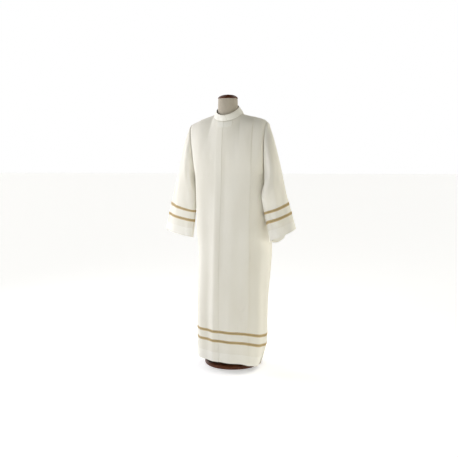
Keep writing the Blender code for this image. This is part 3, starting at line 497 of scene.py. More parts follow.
# Folds of the front: metres above the hem along the cloth, and metres to the wearer's left of the
# middle line
FRONT_FOLDS = (
    # the soft roll beside the opening, and the hollow next to it
    ((0.0, -0.03, 0.022, 0.006), (0.25, -0.028, 0.02, 0.0075), (0.55, -0.027, 0.02, 0.006),
     (0.85, -0.03, 0.022, 0.003), (1.05, -0.032, 0.024, 0.0)),
    ((0.0, -0.08, 0.022, -0.006), (0.25, -0.076, 0.022, -0.0075), (0.5, -0.074, 0.024, -0.0055),
     (0.8, -0.08, 0.026, -0.002), (1.0, -0.085, 0.026, 0.0)),
    # beside the right pleat
    ((0.0, -0.132, 0.02, 0.004), (0.4, -0.13, 0.022, 0.0045), (0.8, -0.134, 0.024, 0.002),
     (1.05, -0.136, 0.024, 0.0)),
    # the shallow hollow under the flap's edge
    ((0.45, 0.02, 0.016, 0.0), (0.8, 0.021, 0.017, -0.0018), (1.15, 0.02, 0.018, -0.0024),
     (1.36, 0.018, 0.018, 0.0)),
    # long soft rolls of the left front
    ((0.0, 0.062, 0.024, 0.003), (0.35, 0.066, 0.026, 0.0034), (0.75, 0.074, 0.028, 0.0022),
     (1.1, 0.08, 0.03, 0.0)),
    ((0.0, 0.112, 0.022, -0.003), (0.4, 0.116, 0.024, -0.003), (0.85, 0.12, 0.026, -0.0014),
     (1.15, 0.122, 0.028, 0.0)),
    # small dents above the braid beside the left pleat
    ((0.245, 0.14, 0.007, 0.0), (0.275, 0.146, 0.008, -0.0018), (0.31, 0.153, 0.007, 0.0)),
    ((0.285, 0.134, 0.006, 0.0), (0.318, 0.14, 0.008, -0.0016), (0.35, 0.149, 0.006, 0.0)),
    ((0.3, 0.156, 0.007, 0.0), (0.33, 0.158, 0.007, 0.0014), (0.37, 0.16, 0.006, 0.0)),
    # pulls from the collar and the shoulders
    ((1.18, -0.06, 0.016, 0.0), (1.28, -0.052, 0.014, 0.0012), (1.37, -0.042, 0.01, 0.0)),
    ((1.1, -0.112, 0.02, 0.0), (1.25, -0.104, 0.02, 0.0018), (1.4, -0.094, 0.014, 0.0)),
    ((1.1, 0.11, 0.022, 0.0), (1.26, 0.104, 0.02, 0.0016), (1.4, 0.096, 0.014, 0.0)),
    # the side panels, left and right of the pleats
    ((0.0, 0.235, 0.026, 0.0055), (0.3, 0.236, 0.026, 0.0055), (0.62, 0.236, 0.024, 0.003),
     (0.85, 0.232, 0.022, 0.0)),
    ((0.0, 0.29, 0.024, -0.0045), (0.3, 0.288, 0.024, -0.004), (0.62, 0.282, 0.022, 0.0)),
    ((0.55, 0.214, 0.014, 0.0), (0.8, 0.216, 0.014, 0.0016), (1.05, 0.214, 0.014, 0.0)),
    ((0.0, -0.225, 0.024, 0.0045), (0.3, -0.226, 0.024, 0.0045), (0.7, -0.222, 0.022, 0.0)),
)

# Folds of the back, from the same middle line
BACK_FOLDS = (
    ((0.0, -0.018, 0.024, -0.006), (0.3, -0.016, 0.024, -0.0065), (0.7, -0.012, 0.026, -0.0035),
     (1.05, -0.006, 0.026, 0.0)),
    ((0.0, 0.038, 0.024, 0.0065), (0.35, 0.042, 0.024, 0.0065), (0.75, 0.044, 0.026, 0.0035),
     (1.1, 0.046, 0.028, 0.0)),
    ((0.0, -0.078, 0.024, 0.006), (0.3, -0.08, 0.026, 0.006), (0.72, -0.082, 0.028, 0.003),
     (1.0, -0.084, 0.028, 0.0)),
    ((0.0, 0.096, 0.02, -0.0045), (0.4, 0.098, 0.022, -0.0045), (0.8, 0.1, 0.024, 0.0)),
    ((0.92, -0.09, 0.02, 0.0), (1.1, -0.08, 0.022, -0.003), (1.32, -0.064, 0.02, 0.0)),
    ((0.95, 0.092, 0.02, 0.0), (1.12, 0.082, 0.022, -0.0026), (1.34, 0.066, 0.02, 0.0)),
    ((1.12, 0.0, 0.05, 0.0), (1.3, 0.0, 0.06, -0.003), (1.44, 0.0, 0.05, 0.0)),
    ((0.0, 0.225, 0.024, 0.005), (0.35, 0.228, 0.026, 0.005), (0.75, 0.226, 0.024, 0.0)),
    ((0.0, -0.228, 0.024, 0.005), (0.35, -0.23, 0.026, 0.0048), (0.8, -0.226, 0.024, 0.0)),
    ((0.0, 0.278, 0.022, -0.004), (0.3, 0.276, 0.022, -0.0038), (0.6, 0.272, 0.022, 0.0)),
    ((0.0, -0.268, 0.02, -0.0036), (0.3, -0.266, 0.02, -0.0034), (0.6, -0.262, 0.02, 0.0)),
)

# How far a pleat's edge lifts off the layer below it
PLEAT_LIFT = {
    ("front", "left"): ((0.0, 0.0022), (0.1, 0.001), (0.3, 0.0004), (0.6, 0.0008), (0.95, 0.0002),
                        (1.25, 0.0003), (1.5, 0.0)),
    ("front", "right"): ((0.0, 0.0018), (0.25, 0.0008), (0.7, 0.0003), (1.1, 0.0006), (1.5, 0.0)),
    ("back", "left"): ((0.0, 0.003), (0.4, 0.0008), (0.8, 0.0014), (1.2, 0.0004), (1.5, 0.0)),
    ("back", "right"): ((0.0, 0.0016), (0.35, 0.0022), (0.9, 0.0005), (1.2, 0.0008), (1.5, 0.0)),
}
FLAP_LIFT = ((0.0, 0.0012), (0.055, 0.0011), (0.075, 0.0003), (0.50, 0.0003), (0.80, 0.0),
             (1.10, 0.0003), (1.38, 0.0), (1.50, 0.0))


def pucker_lines(seed, low, high, count, tall, levels):
    """Small gathers across the stitched bands: their lines as folds."""
    random = np.random.default_rng(seed)
    lines = []
    for across in np.linspace(low, high, count):
        level = levels[random.integers(len(levels))]
        across += random.uniform(-0.4, 0.4) * (high - low) / count
        reach, width = tall * random.uniform(0.6, 1.3), random.uniform(0.0035, 0.0065)
        rise, lean = random.uniform(0.0006, 0.0015), random.uniform(-0.010, 0.010)
        lines.append(
            (
                (level - reach, across - lean, width, 0.0),
                (level, across, width, rise),
                (level + reach, across + lean, width * 0.8, 0.0),
            )
        )
    return tuple(lines)


HEM_LEVELS = (0.100, 0.153, 0.205)
PUCKERS = {
    "front": pucker_lines(11, -0.155, -0.010, 15, 0.040, HEM_LEVELS)
    + pucker_lines(12, 0.020, 0.160, 10, 0.030, HEM_LEVELS)
    + pucker_lines(13, 0.185, 0.330, 10, 0.034, HEM_LEVELS)
    + pucker_lines(14, -0.290, -0.185, 8, 0.034, HEM_LEVELS),
    "back": pucker_lines(15, -0.160, 0.160, 26, 0.036, HEM_LEVELS)
    + pucker_lines(16, 0.185, 0.320, 10, 0.034, HEM_LEVELS)
    + pucker_lines(17, -0.290, -0.185, 8, 0.034, HEM_LEVELS),
}
FACE_FOLDS = {"front": FRONT_FOLDS + PUCKERS["front"], "back": BACK_FOLDS + PUCKERS["back"]}


def by_height(table, up):
    """A two-column table's value at an array of heights."""
    return read_columns(table, ("up", "value"), "up", up)["value"]


def face_rise(surface, rows, across):
    """How far the cloth stands off the base surface at metres up and across it."""
    up = rows["up"]
    rise = fold_field(FACE_FOLDS[surface.face], up, across)
    seed = 3 if surface.face == "front" else 4
    calm = smooth((1.44 - up) / 0.20)
    rise = rise + calm * unevenness(seed, up, across, 0.60, 0.15, 0.0007)
    rise = rise + unevenness(seed + 20, up, across, 0.16, 0.06, 0.00022)
    rise = rise - TOP_SEAM_DIP * hill(np.maximum(surface.up[-1] - up, 0.0) / SEAM_REACH)
    return rise - STITCH_DIP * hill((up - HEM_DEPTH) / STITCH_REACH)


# Where each stretch of a half panel lies on its path, from the middle to the side seam
FLAT, EDGE, UNDER, INNER, BELOW, SIDE = range(6)


def cloth_path(to_pleat, to_edge, q, start, flap):
    """Metres from the middle, rise, the outer face's turn (along, out) and how far the pleat may
    lift there. q runs one unit a stretch: flat, round the pleat's edge, back under it, round the
    inner fold, out again, and on to the side seam."""
    radius, top = SHEET_PITCH / 2, 2 * LAYER_PITCH
    below = top - 2 * SHEET_PITCH
    inner = to_pleat - PLEAT_DEPTH
    span = np.minimum(q.astype(int), SIDE)
    part = q - span
    turn = math.pi * part
    zero, one = np.zeros_like(q), np.ones_like(q)
    to_side = to_edge - to_pleat - SEAM_GAP / 2
    stretches = {
        FLAT: (start + (to_pleat - radius - start) * part, top * one, zero, one),
        EDGE: (
            to_pleat - radius + radius * np.sin(turn), top - radius + radius * np.cos(turn),
            np.sin(turn), np.cos(turn),
        ),
        UNDER: (
            to_pleat - radius - (PLEAT_DEPTH - 2 * radius) * part, (top - 2 * radius) * one, zero,
            -one,
        ),
        INNER: (
            inner + radius - radius * np.sin(turn), below + radius + radius * np.cos(turn),
            np.sin(turn), -np.cos(turn),
        ),
        BELOW: (inner + radius + (PLEAT_DEPTH - radius) * part, below * one, zero, one),
        SIDE: (
            to_pleat + to_side * part, below * (1 - smooth(to_side * part / 0.040)), zero, one,
        ),
    }
    shape = np.broadcast(to_pleat, q).shape
    here = [np.broadcast_to(span == which, shape) for which in stretches]
    distance, rise, turn_along, turn_out = (
        np.select(here, [np.broadcast_to(found[i], shape) for found in stretches.values()])
        for i in range(4)
    )
    rise = rise + np.where(span == FLAT, flap * (1 - smooth((distance - 0.036) / 0.014)), 0.0)
    lifts = np.where(span <= UNDER, smooth((distance - inner) / PLEAT_DEPTH), 0.0)
    return distance, rise, turn_along, turn_out, lifts


def lay_cloth(surface, side, heights, q, start=0.0, flap=0.0):
    """The middle of the cloth at columns q of a half panel, which way it faces, the surface's rows
    and metres from the middle line."""
    rows = surface.rows(heights)
    way = WAY[side]
    to_pleat, to_edge = rows["to_pleat"][side], rows["to_edge"][side]
    distance, rise, turn_along, turn_out, lifts = cloth_path(to_pleat, to_edge, q, start, flap)
    across = way * distance
    rise = rise + face_rise(surface, rows, across)
    rise = rise + lifts * by_height(PLEAT_LIFT[surface.face, side], rows["up"])
    if flap:
        rise = rise + by_height(FLAP_LIFT, rows["up"]) * (1 - smooth(distance / FLAP_FADE))
    to_seam = np.where(q >= SIDE, to_edge - distance, 1.0)
    rise = rise - SEAM_DIP * hill(to_seam / SEAM_REACH)
    points, run, out = surface.sample(rows, across)
    middle = points + rise[..., None] * out
    if heights[-1] == GRID_HEIGHTS[-1]:
        middle[-1, :, 1] += FORWARD[surface.face] * 0.6 * SEAM_GAP
    facing = unit(turn_along[..., None] * way * run + turn_out[..., None] * out)
    return middle, facing, rows, distance


# Meshes
def shell_faces(rows, columns, loop):
    """Quads of a closed wall between two grids, with the grid corner of each of their corners."""
    spans = columns if loop else columns - 1
    r, c = np.meshgrid(np.arange(rows - 1), np.arange(spans), indexing="ij")
    r, c = r.ravel(), c.ravel()
    outer = np.stack([r, c, r, c + 1, r + 1, c + 1, r + 1, c], axis=1).reshape(-1, 4, 2)
    faces = [(outer, np.zeros(4, int)), (outer[:, ::-1], np.ones(4, int))]
    ends = np.arange(spans)
    for row, order in ((0, (1, 0)), (rows - 1, (0, 1))):
        pair = [np.stack([np.full(spans, row), ends + step], axis=1) for step in order]
        quad = np.stack([pair[0], pair[1], pair[1], pair[0]], axis=1)
        faces.append((quad, np.array([0, 0, 1, 1])))
    if not loop:
        steps = np.arange(rows - 1)
        for column, order in ((0, (0, 1)), (columns - 1, (1, 0))):
            pair = [np.stack([steps + step, np.full(rows - 1, column)], axis=1) for step in order]
            quad = np.stack([pair[0], pair[1], pair[1], pair[0]], axis=1)
            faces.append((quad, np.array([0, 0, 1, 1])))
    corners = np.concatenate([f for f, _ in faces])
    layers = np.concatenate([np.broadcast_to(layer, (len(f), 4)) for f, layer in faces])
    return corners, layers


def finish_piece(mesh, places, finish, sharp):
    """A mesh's object, with its places on the cloth as UVs. sharp is in degrees, 0 for none."""
    layer = mesh.uv_layers.new(name="cloth")
    layer.uv.foreach_set("vector", np.asarray(places, np.float32).ravel())
    mesh.shade_smooth()
    if sharp:
        mesh.set_sharp_from_angle(angle=math.radians(sharp))
    mesh.materials.append(finish)
    made = bpy.data.objects.new(mesh.name, mesh)
    bpy.context.scene.collection.objects.link(made)
    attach(made, "root")
    return made


def join_grids(name, parts, finish, sharp=60, loop=False):
    """One mesh of closed walls. Each part is (outer grid, inner grid, u, v), with u and v in metres
    along the cloth at its columns and rows."""
    points, quads, places, first = [], [], [], 0
    for outer, inner, u, v in parts:
        rows, columns = outer.shape[:2]
        corners, layers = shell_faces(rows, columns, loop)
        index = corners[..., 0] * columns + corners[..., 1] % columns
        quad = first + index + layers * rows * columns
        v = np.broadcast_to(np.reshape(v, (rows, -1)), (rows, columns))
        places.append(
            np.stack([np.asarray(u)[corners[..., 1]],
                      v[corners[..., 0], corners[..., 1] % columns]],
                     axis=-1)
        )
        flat = np.concatenate([outer.reshape(-1, 3), inner.reshape(-1, 3)])
        a, b, c = (flat[(quad - first)[:, k]] for k in (0, 1, 2))
        d = flat[(quad - first)[:, 3]]
        volume = np.einsum("ij,ij->", a, np.cross(b, c)) + np.einsum("ij,ij->", a, np.cross(c, d))
        if volume < 0:
            quad, places[-1] = quad[:, ::-1], places[-1][:, ::-1]
        points.append(flat)
        quads.append(quad)
        first += len(flat)
    points, quads, places = np.vstack(points), np.vstack(quads), np.vstack(places)
    mesh = bpy.data.meshes.new(name)
    mesh.vertices.add(len(points))
    mesh.vertices.foreach_set("co", points.astype(np.float32).ravel())
    mesh.loops.add(quads.size)
    mesh.loops.foreach_set("vertex_index", quads.astype(np.int32).ravel())
    mesh.polygons.add(len(quads))
    mesh.polygons.foreach_set("loop_start", np.arange(0, quads.size, 4, dtype=np.int32))
    mesh.polygons.foreach_set("loop_total", np.full(len(quads), 4, dtype=np.int32))
    mesh.update(calc_edges=True)
    return finish_piece(mesh, places, finish, sharp)


def rounded(distance, reach, least=0.2):
    """The share of full thickness at a distance from an edge that rounds off over reach."""
    part = np.clip(distance / reach, 0.0, 1.0)
    return np.maximum(np.sqrt(1 - (1 - part) ** 2), least)


def metres_along(grid):
    """Metres along the columns of a grid, at a third of its rows."""
    return lengths(grid[len(grid) // 3])


# Materials
def new_material(name, colour, roughness, metallic=0.0, **settings):
    made = bpy.data.materials.new(name)
    made.use_nodes = True
    shader = made.node_tree.nodes["Principled BSDF"]
    shader.inputs["Base Color"].default_value = (*colour, 1.0)
    shader.inputs["Roughness"].default_value = roughness
    shader.inputs["Metallic"].default_value = metallic
    for key, value in settings.items():
        shader.inputs[key.replace("_", " ")].default_value = value
    return made


def grey(value):
    return (value, value, value)


class Nodes:
    """Short ways to add shader nodes to a material."""

    def __init__(self, material):
        self.tree = material.node_tree
        self.shader = self.tree.nodes["Principled BSDF"]

    def add(self, kind, *inputs, **settings):
        node = self.tree.nodes.new("ShaderNode" + kind)
        for key, value in settings.items():
            setattr(node, key, value)
        for socket, value in zip(node.inputs, inputs):
            self.put(socket, value)
        return node

    def put(self, socket, value):
        if isinstance(value, bpy.types.NodeSocket):
            self.tree.links.new(value, socket)
        elif value is not None:
            socket.default_value = value

    def uv(self):
        node = self.tree.nodes.new("ShaderNodeUVMap")
        node.uv_map = "cloth"
        return node.outputs[0]

    def place(self):
        return self.tree.nodes.new("ShaderNodeTexCoord").outputs["Object"]

    def scaled(self, vector, scale):
        return self.add("VectorMath", vector, scale, operation="MULTIPLY").outputs[0]

    def parts(self, vector):
        return self.add("SeparateXYZ", vector).outputs

    def math(self, operation, first, second=None):
        return self.add("Math", first, second, operation=operation).outputs[0]

    def wave(self, part, pitch):
        return self.math("SINE", self.math("MULTIPLY", part, 2 * math.pi / pitch))

    def noise(self, vector, scale, detail=3.0, rough=0.5, distortion=0.0):
        node = self.tree.nodes.new("ShaderNodeTexNoise")
        self.put(node.inputs["Vector"], vector)
        node.inputs["Scale"].default_value = scale
        node.inputs["Detail"].default_value = detail
        node.inputs["Roughness"].default_value = rough
        node.inputs["Distortion"].default_value = distortion
        return node.outputs[0]

    def ramp(self, factor, *stops):
        node = self.tree.nodes.new("ShaderNodeValToRGB")
        self.put(node.inputs[0], factor)
        marks = node.color_ramp.elements
        for index, (place, colour) in enumerate(stops):
            mark = marks[index] if index < 2 else marks.new(place)
            mark.position = place
            mark.color = (*colour, 1.0) if len(colour) == 3 else colour
        return node.outputs[0]

    def rise(self, factor, low, high, top=1.0):
        return self.ramp(factor, (low, grey(0)), (high, grey(top)))

    def mix(self, factor, first, second, blend="MIX"):
        node = self.tree.nodes.new("ShaderNodeMix")
        node.data_type = "RGBA"
        node.blend_type = blend
        self.put(node.inputs[0], factor)
        for socket, value in ((node.inputs[6], first), (node.inputs[7], second)):
            if isinstance(value, tuple) and len(value) == 3:
                value = (*value, 1.0)
            self.put(socket, value)
        return node.outputs[2]

    def bump(self, height, strength, distance, normal=None):
        node = self.tree.nodes.new("ShaderNodeBump")
        node.inputs["Strength"].default_value = strength
        node.inputs["Distance"].default_value = distance
        self.put(node.inputs["Height"], height)
        if normal is not None:
            self.put(node.inputs["Normal"], normal)
        return node.outputs[0]

    def finish(self, colour=None, roughness=None, normal=None):
        for name, value in (("Base Color", colour), ("Roughness", roughness), ("Normal", normal)):
            if value is not None:
                self.put(self.shader.inputs[name], value)


WEAVE_PITCH, LINEN_PITCH = 0.0009, 0.0015
IVORY = (0.838, 0.812, 0.727)
IVORY_DEEP = (0.800, 0.768, 0.672)
IVORY_HEM = (0.905, 0.888, 0.822)


def cloth_material():
    made = new_material(
        "alb_cloth_woven", IVORY, 0.74, Sheen_Weight=0.10, Sheen_Roughness=0.45,
        Specular_IOR_Level=0.28,
    )
    n = Nodes(made)
    uv = n.uv()
    u, v = n.parts(uv)[:2]
    broad = n.noise(n.scaled(uv, (1.0, 0.35, 1.0)), 7.0, 3.0)
    colour = n.mix(n.rise(broad, 0.35, 0.70), IVORY, IVORY_DEEP)
    double = n.math("LESS_THAN", v, HEM_DEPTH)
    colour = n.mix(n.math("MULTIPLY", double, 0.55), colour, IVORY_HEM)
    slub = n.noise(n.scaled(uv, (60.0, 900.0, 1.0)), 1.0, 2.0)
    colour = n.mix(n.rise(slub, 0.45, 0.75, 0.16), colour, IVORY_DEEP)
    # the row of stitches: dashes of thread whose darker colour is painted shade of the dimples they
    # pull into the cloth
    near = n.math("LESS_THAN", n.math("ABSOLUTE", n.math("SUBTRACT", v, HEM_DEPTH)), 0.0005)
    dash = n.math("GREATER_THAN", n.wave(u, STITCH_PITCH), -0.3)
    stitch_shade = n.math("MULTIPLY", near, dash)
    colour = n.mix(n.math("MULTIPLY", stitch_shade, 0.7), colour, (0.70, 0.66, 0.56))
    weave = n.math("MULTIPLY", n.wave(u, WEAVE_PITCH), n.wave(v, WEAVE_PITCH))
    wrinkle = n.noise(n.scaled(uv, (1.0, 0.45, 1.0)), 55.0, 3.0, 0.55)
    normal = n.bump(wrinkle, 0.35, 0.0012)
    normal = n.bump(slub, 0.25, 0.0002, normal)
    normal = n.bump(weave, 0.35, 0.00010, normal)
    rough = n.ramp(broad, (0.2, grey(0.70)), (0.8, grey(0.80)))
    n.finish(colour, rough, normal)
    return made


GOLD_LIGHT = (0.625, 0.480, 0.255)
GOLD_DARK = (0.365, 0.272, 0.125)


def braid_material():
    made = new_material("gold_braid_woven", GOLD_LIGHT, 0.55, 0.12, Specular_IOR_Level=0.3)
    n = Nodes(made)
    uv = n.uv()
    u, v = n.parts(uv)[:2]
    off_middle = n.math("ABSOLUTE", n.math("SUBTRACT", v, BRAID_WIDTH / 2))
    share = n.math("DIVIDE", off_middle, BRAID_WIDTH / 2)
    band = n.ramp(
        share, (0.0, GOLD_DARK), (0.20, GOLD_DARK), (0.32, GOLD_LIGHT), (0.80, GOLD_LIGHT),
        (0.95, (0.52, 0.38, 0.18)),
    )
    slant = n.math("ADD", n.math("MULTIPLY", u, 1 / 0.0021), n.math("MULTIPLY", off_middle, 320.0))
    thread = n.math("SINE", n.math("MULTIPLY", slant, 2 * math.pi))
    sparkle = n.noise(n.scaled(uv, (700.0, 900.0, 1.0)), 1.0, 2.0)
    colour = n.mix(n.math("MULTIPLY", n.math("ADD", thread, 1.0), 0.13), band, (0.25, 0.16, 0.05))
    # painted glints: the sparkle noise lightens the braid's colour in flecks, where it also makes
    # the braid smoother and bumps it
    colour = n.mix(n.rise(sparkle, 0.55, 0.80, 0.5), colour,
                   (0.78, 0.62, 0.34))
    normal = n.bump(thread, 0.7, 0.0003)
    normal = n.bump(sparkle, 0.3, 0.0002, normal)
    rough = n.ramp(sparkle, (0.3, grey(0.62)), (0.8, grey(0.42)))
    n.finish(colour, rough, normal)
    return made


def linen_material():
    made = new_material("form_linen_woven", (0.40, 0.36, 0.29), 0.88, Specular_IOR_Level=0.2)
    n = Nodes(made)
    uv = n.uv()
    u, v = n.parts(uv)[:2]
    weave = n.math("MULTIPLY", n.wave(u, LINEN_PITCH), n.wave(v, LINEN_PITCH))
    slub = n.noise(n.scaled(uv, (40.0, 600.0, 1.0)), 1.0, 3.0)
    slub_up = n.noise(n.scaled(uv, (600.0, 40.0, 1.0)), 1.0, 3.0)
    threads = n.math("ADD", slub, slub_up)
    colour = n.mix(n.rise(threads, 0.75, 1.3), (0.380, 0.332, 0.262), (0.500, 0.450, 0.370))
    broad = n.noise(n.place(), 9.0, 3.0)
    colour = n.mix(n.math("MULTIPLY", broad, 0.25), colour, (0.33, 0.28, 0.21))
    normal = n.bump(threads, 0.5, 0.0004)
    normal = n.bump(weave, 0.5, 0.0002, normal)
    n.finish(colour, None, normal)
    return made


def wood_material():
    made = new_material(
        "dark_wood_varnished", (0.045, 0.014, 0.007), 0.42, Coat_Weight=0.10, Coat_Roughness=0.30,
        Specular_IOR_Level=0.16,
    )
    n = Nodes(made)
    place = n.place()
    grain = n.noise(n.scaled(place, (3.0, 30.0, 14.0)), 4.0, 5.0, 0.6, 0.6)
    fine = n.noise(n.scaled(place, (14.0, 260.0, 120.0)), 3.0, 3.0)
    colour = n.ramp(grain, (0.30, (0.048, 0.013, 0.005)), (0.55, (0.115, 0.033, 0.012)),
                    (0.75, (0.190, 0.060, 0.022)))
    colour = n.mix(n.rise(fine, 0.50, 0.75, 0.5), colour, (0.030, 0.010, 0.005))
    wear = n.noise(place, 30.0, 3.0)
    rough = n.ramp(wear, (0.4, grey(0.36)), (0.75, grey(0.50)))
    normal = n.bump(fine, 0.10, 0.0003)
    n.finish(colour, rough, normal)
    return made


def steel_material():
    made = new_material("pole_steel_satin", (0.55, 0.55, 0.55), 0.30, 1.0)
    n = Nodes(made)
    brushed = n.noise(n.scaled(n.place(), (40.0, 40.0, 900.0)), 3.0, 3.0)
    colour = n.ramp(brushed, (0.35, grey(0.50)), (0.70, (0.60, 0.60, 0.59)))
    rough = n.ramp(brushed, (0.35, grey(0.26)), (0.70, grey(0.38)))
    n.finish(colour, rough, n.bump(brushed, 0.15, 0.0002))
    return made


CLOTH_LOOK, BRAID_LOOK, LINEN_LOOK = cloth_material(), braid_material(), linen_material()
WOOD_LOOK, STEEL_LOOK = wood_material(), steel_material()


# The panels
def shell_of(middle, facing, up, thin=1.0, double=None, depth=HEM_DEPTH):
    """A shell's outer and inner grids. thin narrows it at rounded edges, double thickens the inside
    where the cloth is folded, and depth is how far the cloth is turned up at its lower edge."""
    hem = 1 - smooth((up - depth + EDGE_ROUND) / (2 * EDGE_ROUND))
    edge = rounded(up, EDGE_ROUND)
    outside = (SHEET_HALF + HEM_SWELL_OUT * hem) * edge * thin
    inside = (SHEET_HALF + HEM_SWELL_IN * hem) * edge * thin
    if double is not None:
        inside = inside + FACING_SWELL * double * edge
    return middle + outside[..., None] * facing, middle - inside[..., None] * facing


def stretch(low, high, count):
    return np.linspace(low, high, count, endpoint=False)


FRONT_HEIGHTS = row_heights(0.0050, 78)
BACK_HEIGHTS = row_heights(0.0056, 66)


def panel_columns(flat, side):
    """Columns of a half panel, few of them where the pleat hides them."""
    hidden = [2.0, 2.08, 2.3, 2.6, 2.9, 3.0, 3.3, 3.6, 4.0, 4.1, 4.5, 4.85]
    return np.concatenate([flat, stretch(1, 2, 7), hidden, np.linspace(5, 6, side)])


def make_front(side):
    start, flap = (-FRONT_OVERLAP, 0.0) if side == "left" else (SEAM_GAP, FLAP_STEP)
    near = [0.0, 0.0025, 0.006, 0.011, 0.018, 0.026]
    q = panel_columns(np.concatenate([near, stretch(0.036, 1, 44)]), 35)
    middle, facing, rows, distance = lay_cloth(FRONT, side, FRONT_HEIGHTS, q, start, flap)
    first = np.where(q < 1, distance - start, 1.0)
    thin = rounded(first, EDGE_ROUND)
    double = np.where(q < 1, 1 - smooth((distance - start - 0.030) / 0.002), 0.0) if flap else None
    up = np.broadcast_to(rows["up"], distance.shape)
    grids = shell_of(middle, facing, up, thin, double)
    part = (*grids, metres_along(middle) * WAY[side], rows["up"])
    made = join_grids("front_" + side + "_cloth", [part], CLOTH_LOOK)
    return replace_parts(made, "front_" + side)


def make_back():
    q = panel_columns(stretch(0.0, 1, 36), 27)
    halves = {}
    for side in ("right", "left"):
        middle, facing, rows, distance = lay_cloth(BACK, side, BACK_HEIGHTS, q)
        up = np.broadcast_to(rows["up"], distance.shape)
        halves[side] = (*shell_of(middle, facing, up), metres_along(middle))
    right, left = halves["right"], halves["left"]
    outer, inner = (np.concatenate([right[i][:, :0:-1], left[i]], axis=1) for i in (0, 1))
    u = np.concatenate([-right[2][:0:-1], left[2]]) + 3.0
    made = join_grids("back_cloth", [(outer, inner, u, rows["up"])], CLOTH_LOOK)
    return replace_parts(made, "back")


# Braids
BRAID_ROWS = np.linspace(-1.0, 1.0, 13)
LOOP_PITCH = 0.0052


def braid_part(base, facing, loop=False):
    """One strip of braid on a grid that runs across its width by along it: two corded flanks, a
    chain down the middle and looped edges."""
    ring = np.concatenate([base, base[:, :1]], axis=1) if loop else base
    u = metres_along(ring)
    pitch = u[-1] / round(u[-1] / LOOP_PITCH) if loop else LOOP_PITCH
    here = u[: base.shape[1]][None, :]
    w = BRAID_ROWS[:, None]
    loops = 0.75 * np.abs(np.sin(math.pi * here[0] / pitch))[:, None] - 0.35
    height = 0.00030 + 0.00085 * hill((np.abs(w) - 0.56) / 0.26) + 0.00075 * hill(w / 0.13)
    height = height + 0.00016 * np.sin(2 * math.pi * (here / 0.0042 + 0.5 * np.abs(w)))
    height = height * rounded(1 - np.abs(w), 0.16, 0.45)
    base = base.copy()
    base[0] += (base[0] - base[1]) * loops
    base[-1] += (base[-1] - base[-2]) * loops
    inner = base + 0.00008 * facing
    v = (BRAID_ROWS + 1) * BRAID_WIDTH / 2
    return base + height[..., None] * facing, inner, u, v


def hem_braid(level):
    """The braid round the hem, in the stretches that show."""
    heights = BODY_RINGS[0][0] + HEM_BRAIDS[level] + BRAID_ROWS * BRAID_WIDTH / 2
    round_edge = np.concatenate([np.linspace(1, 2, 8)[1:], [2.06, 2.14]])
    flat = np.concatenate([np.linspace(0, 1, 100), round_edge])
    side = np.concatenate([[4.86, 4.93], np.linspace(5, 6, 84)])

    def strip(surface, which, q, start=0.0, flap=0.0):
        middle, facing = lay_cloth(surface, which, heights, q, start, flap)[:2]
        return middle + SHEET_HALF * facing, facing

    under = np.concatenate([np.linspace(0.12, 1, 100), round_edge])
    parts = [
        braid_part(*strip(FRONT, "right", flat, SEAM_GAP, FLAP_STEP)),
        braid_part(*strip(FRONT, "left", under, -FRONT_OVERLAP)),
    ]
    right, left = (strip(BACK, which, flat) for which in ("right", "left"))
    parts.append(
        braid_part(*(np.concatenate([a[:, :0:-1], b], axis=1) for a, b in zip(right, left)))
    )
    for which in ("left", "right"):
        ahead, behind = (strip(surface, which, side) for surface in (FRONT, BACK))
        parts.append(
            braid_part(*(np.concatenate([a, b[:, ::-1]], axis=1) for a, b in zip(ahead, behind)))
        )
    name = f"hem_braid_{level}"
    made = join_grids(name, parts, BRAID_LOOK, 0)
    places = ("back", "front_left", "front_right", "side_left", "side_right")
    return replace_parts(made, *(f"braid_hem_{level}_{place}" for place in places))


# The sleeves
SLEEVE_COLUMNS_ROUND = 132
TURNS = np.arange(SLEEVE_COLUMNS_ROUND) * 2 * math.pi / SLEEVE_COLUMNS_ROUND

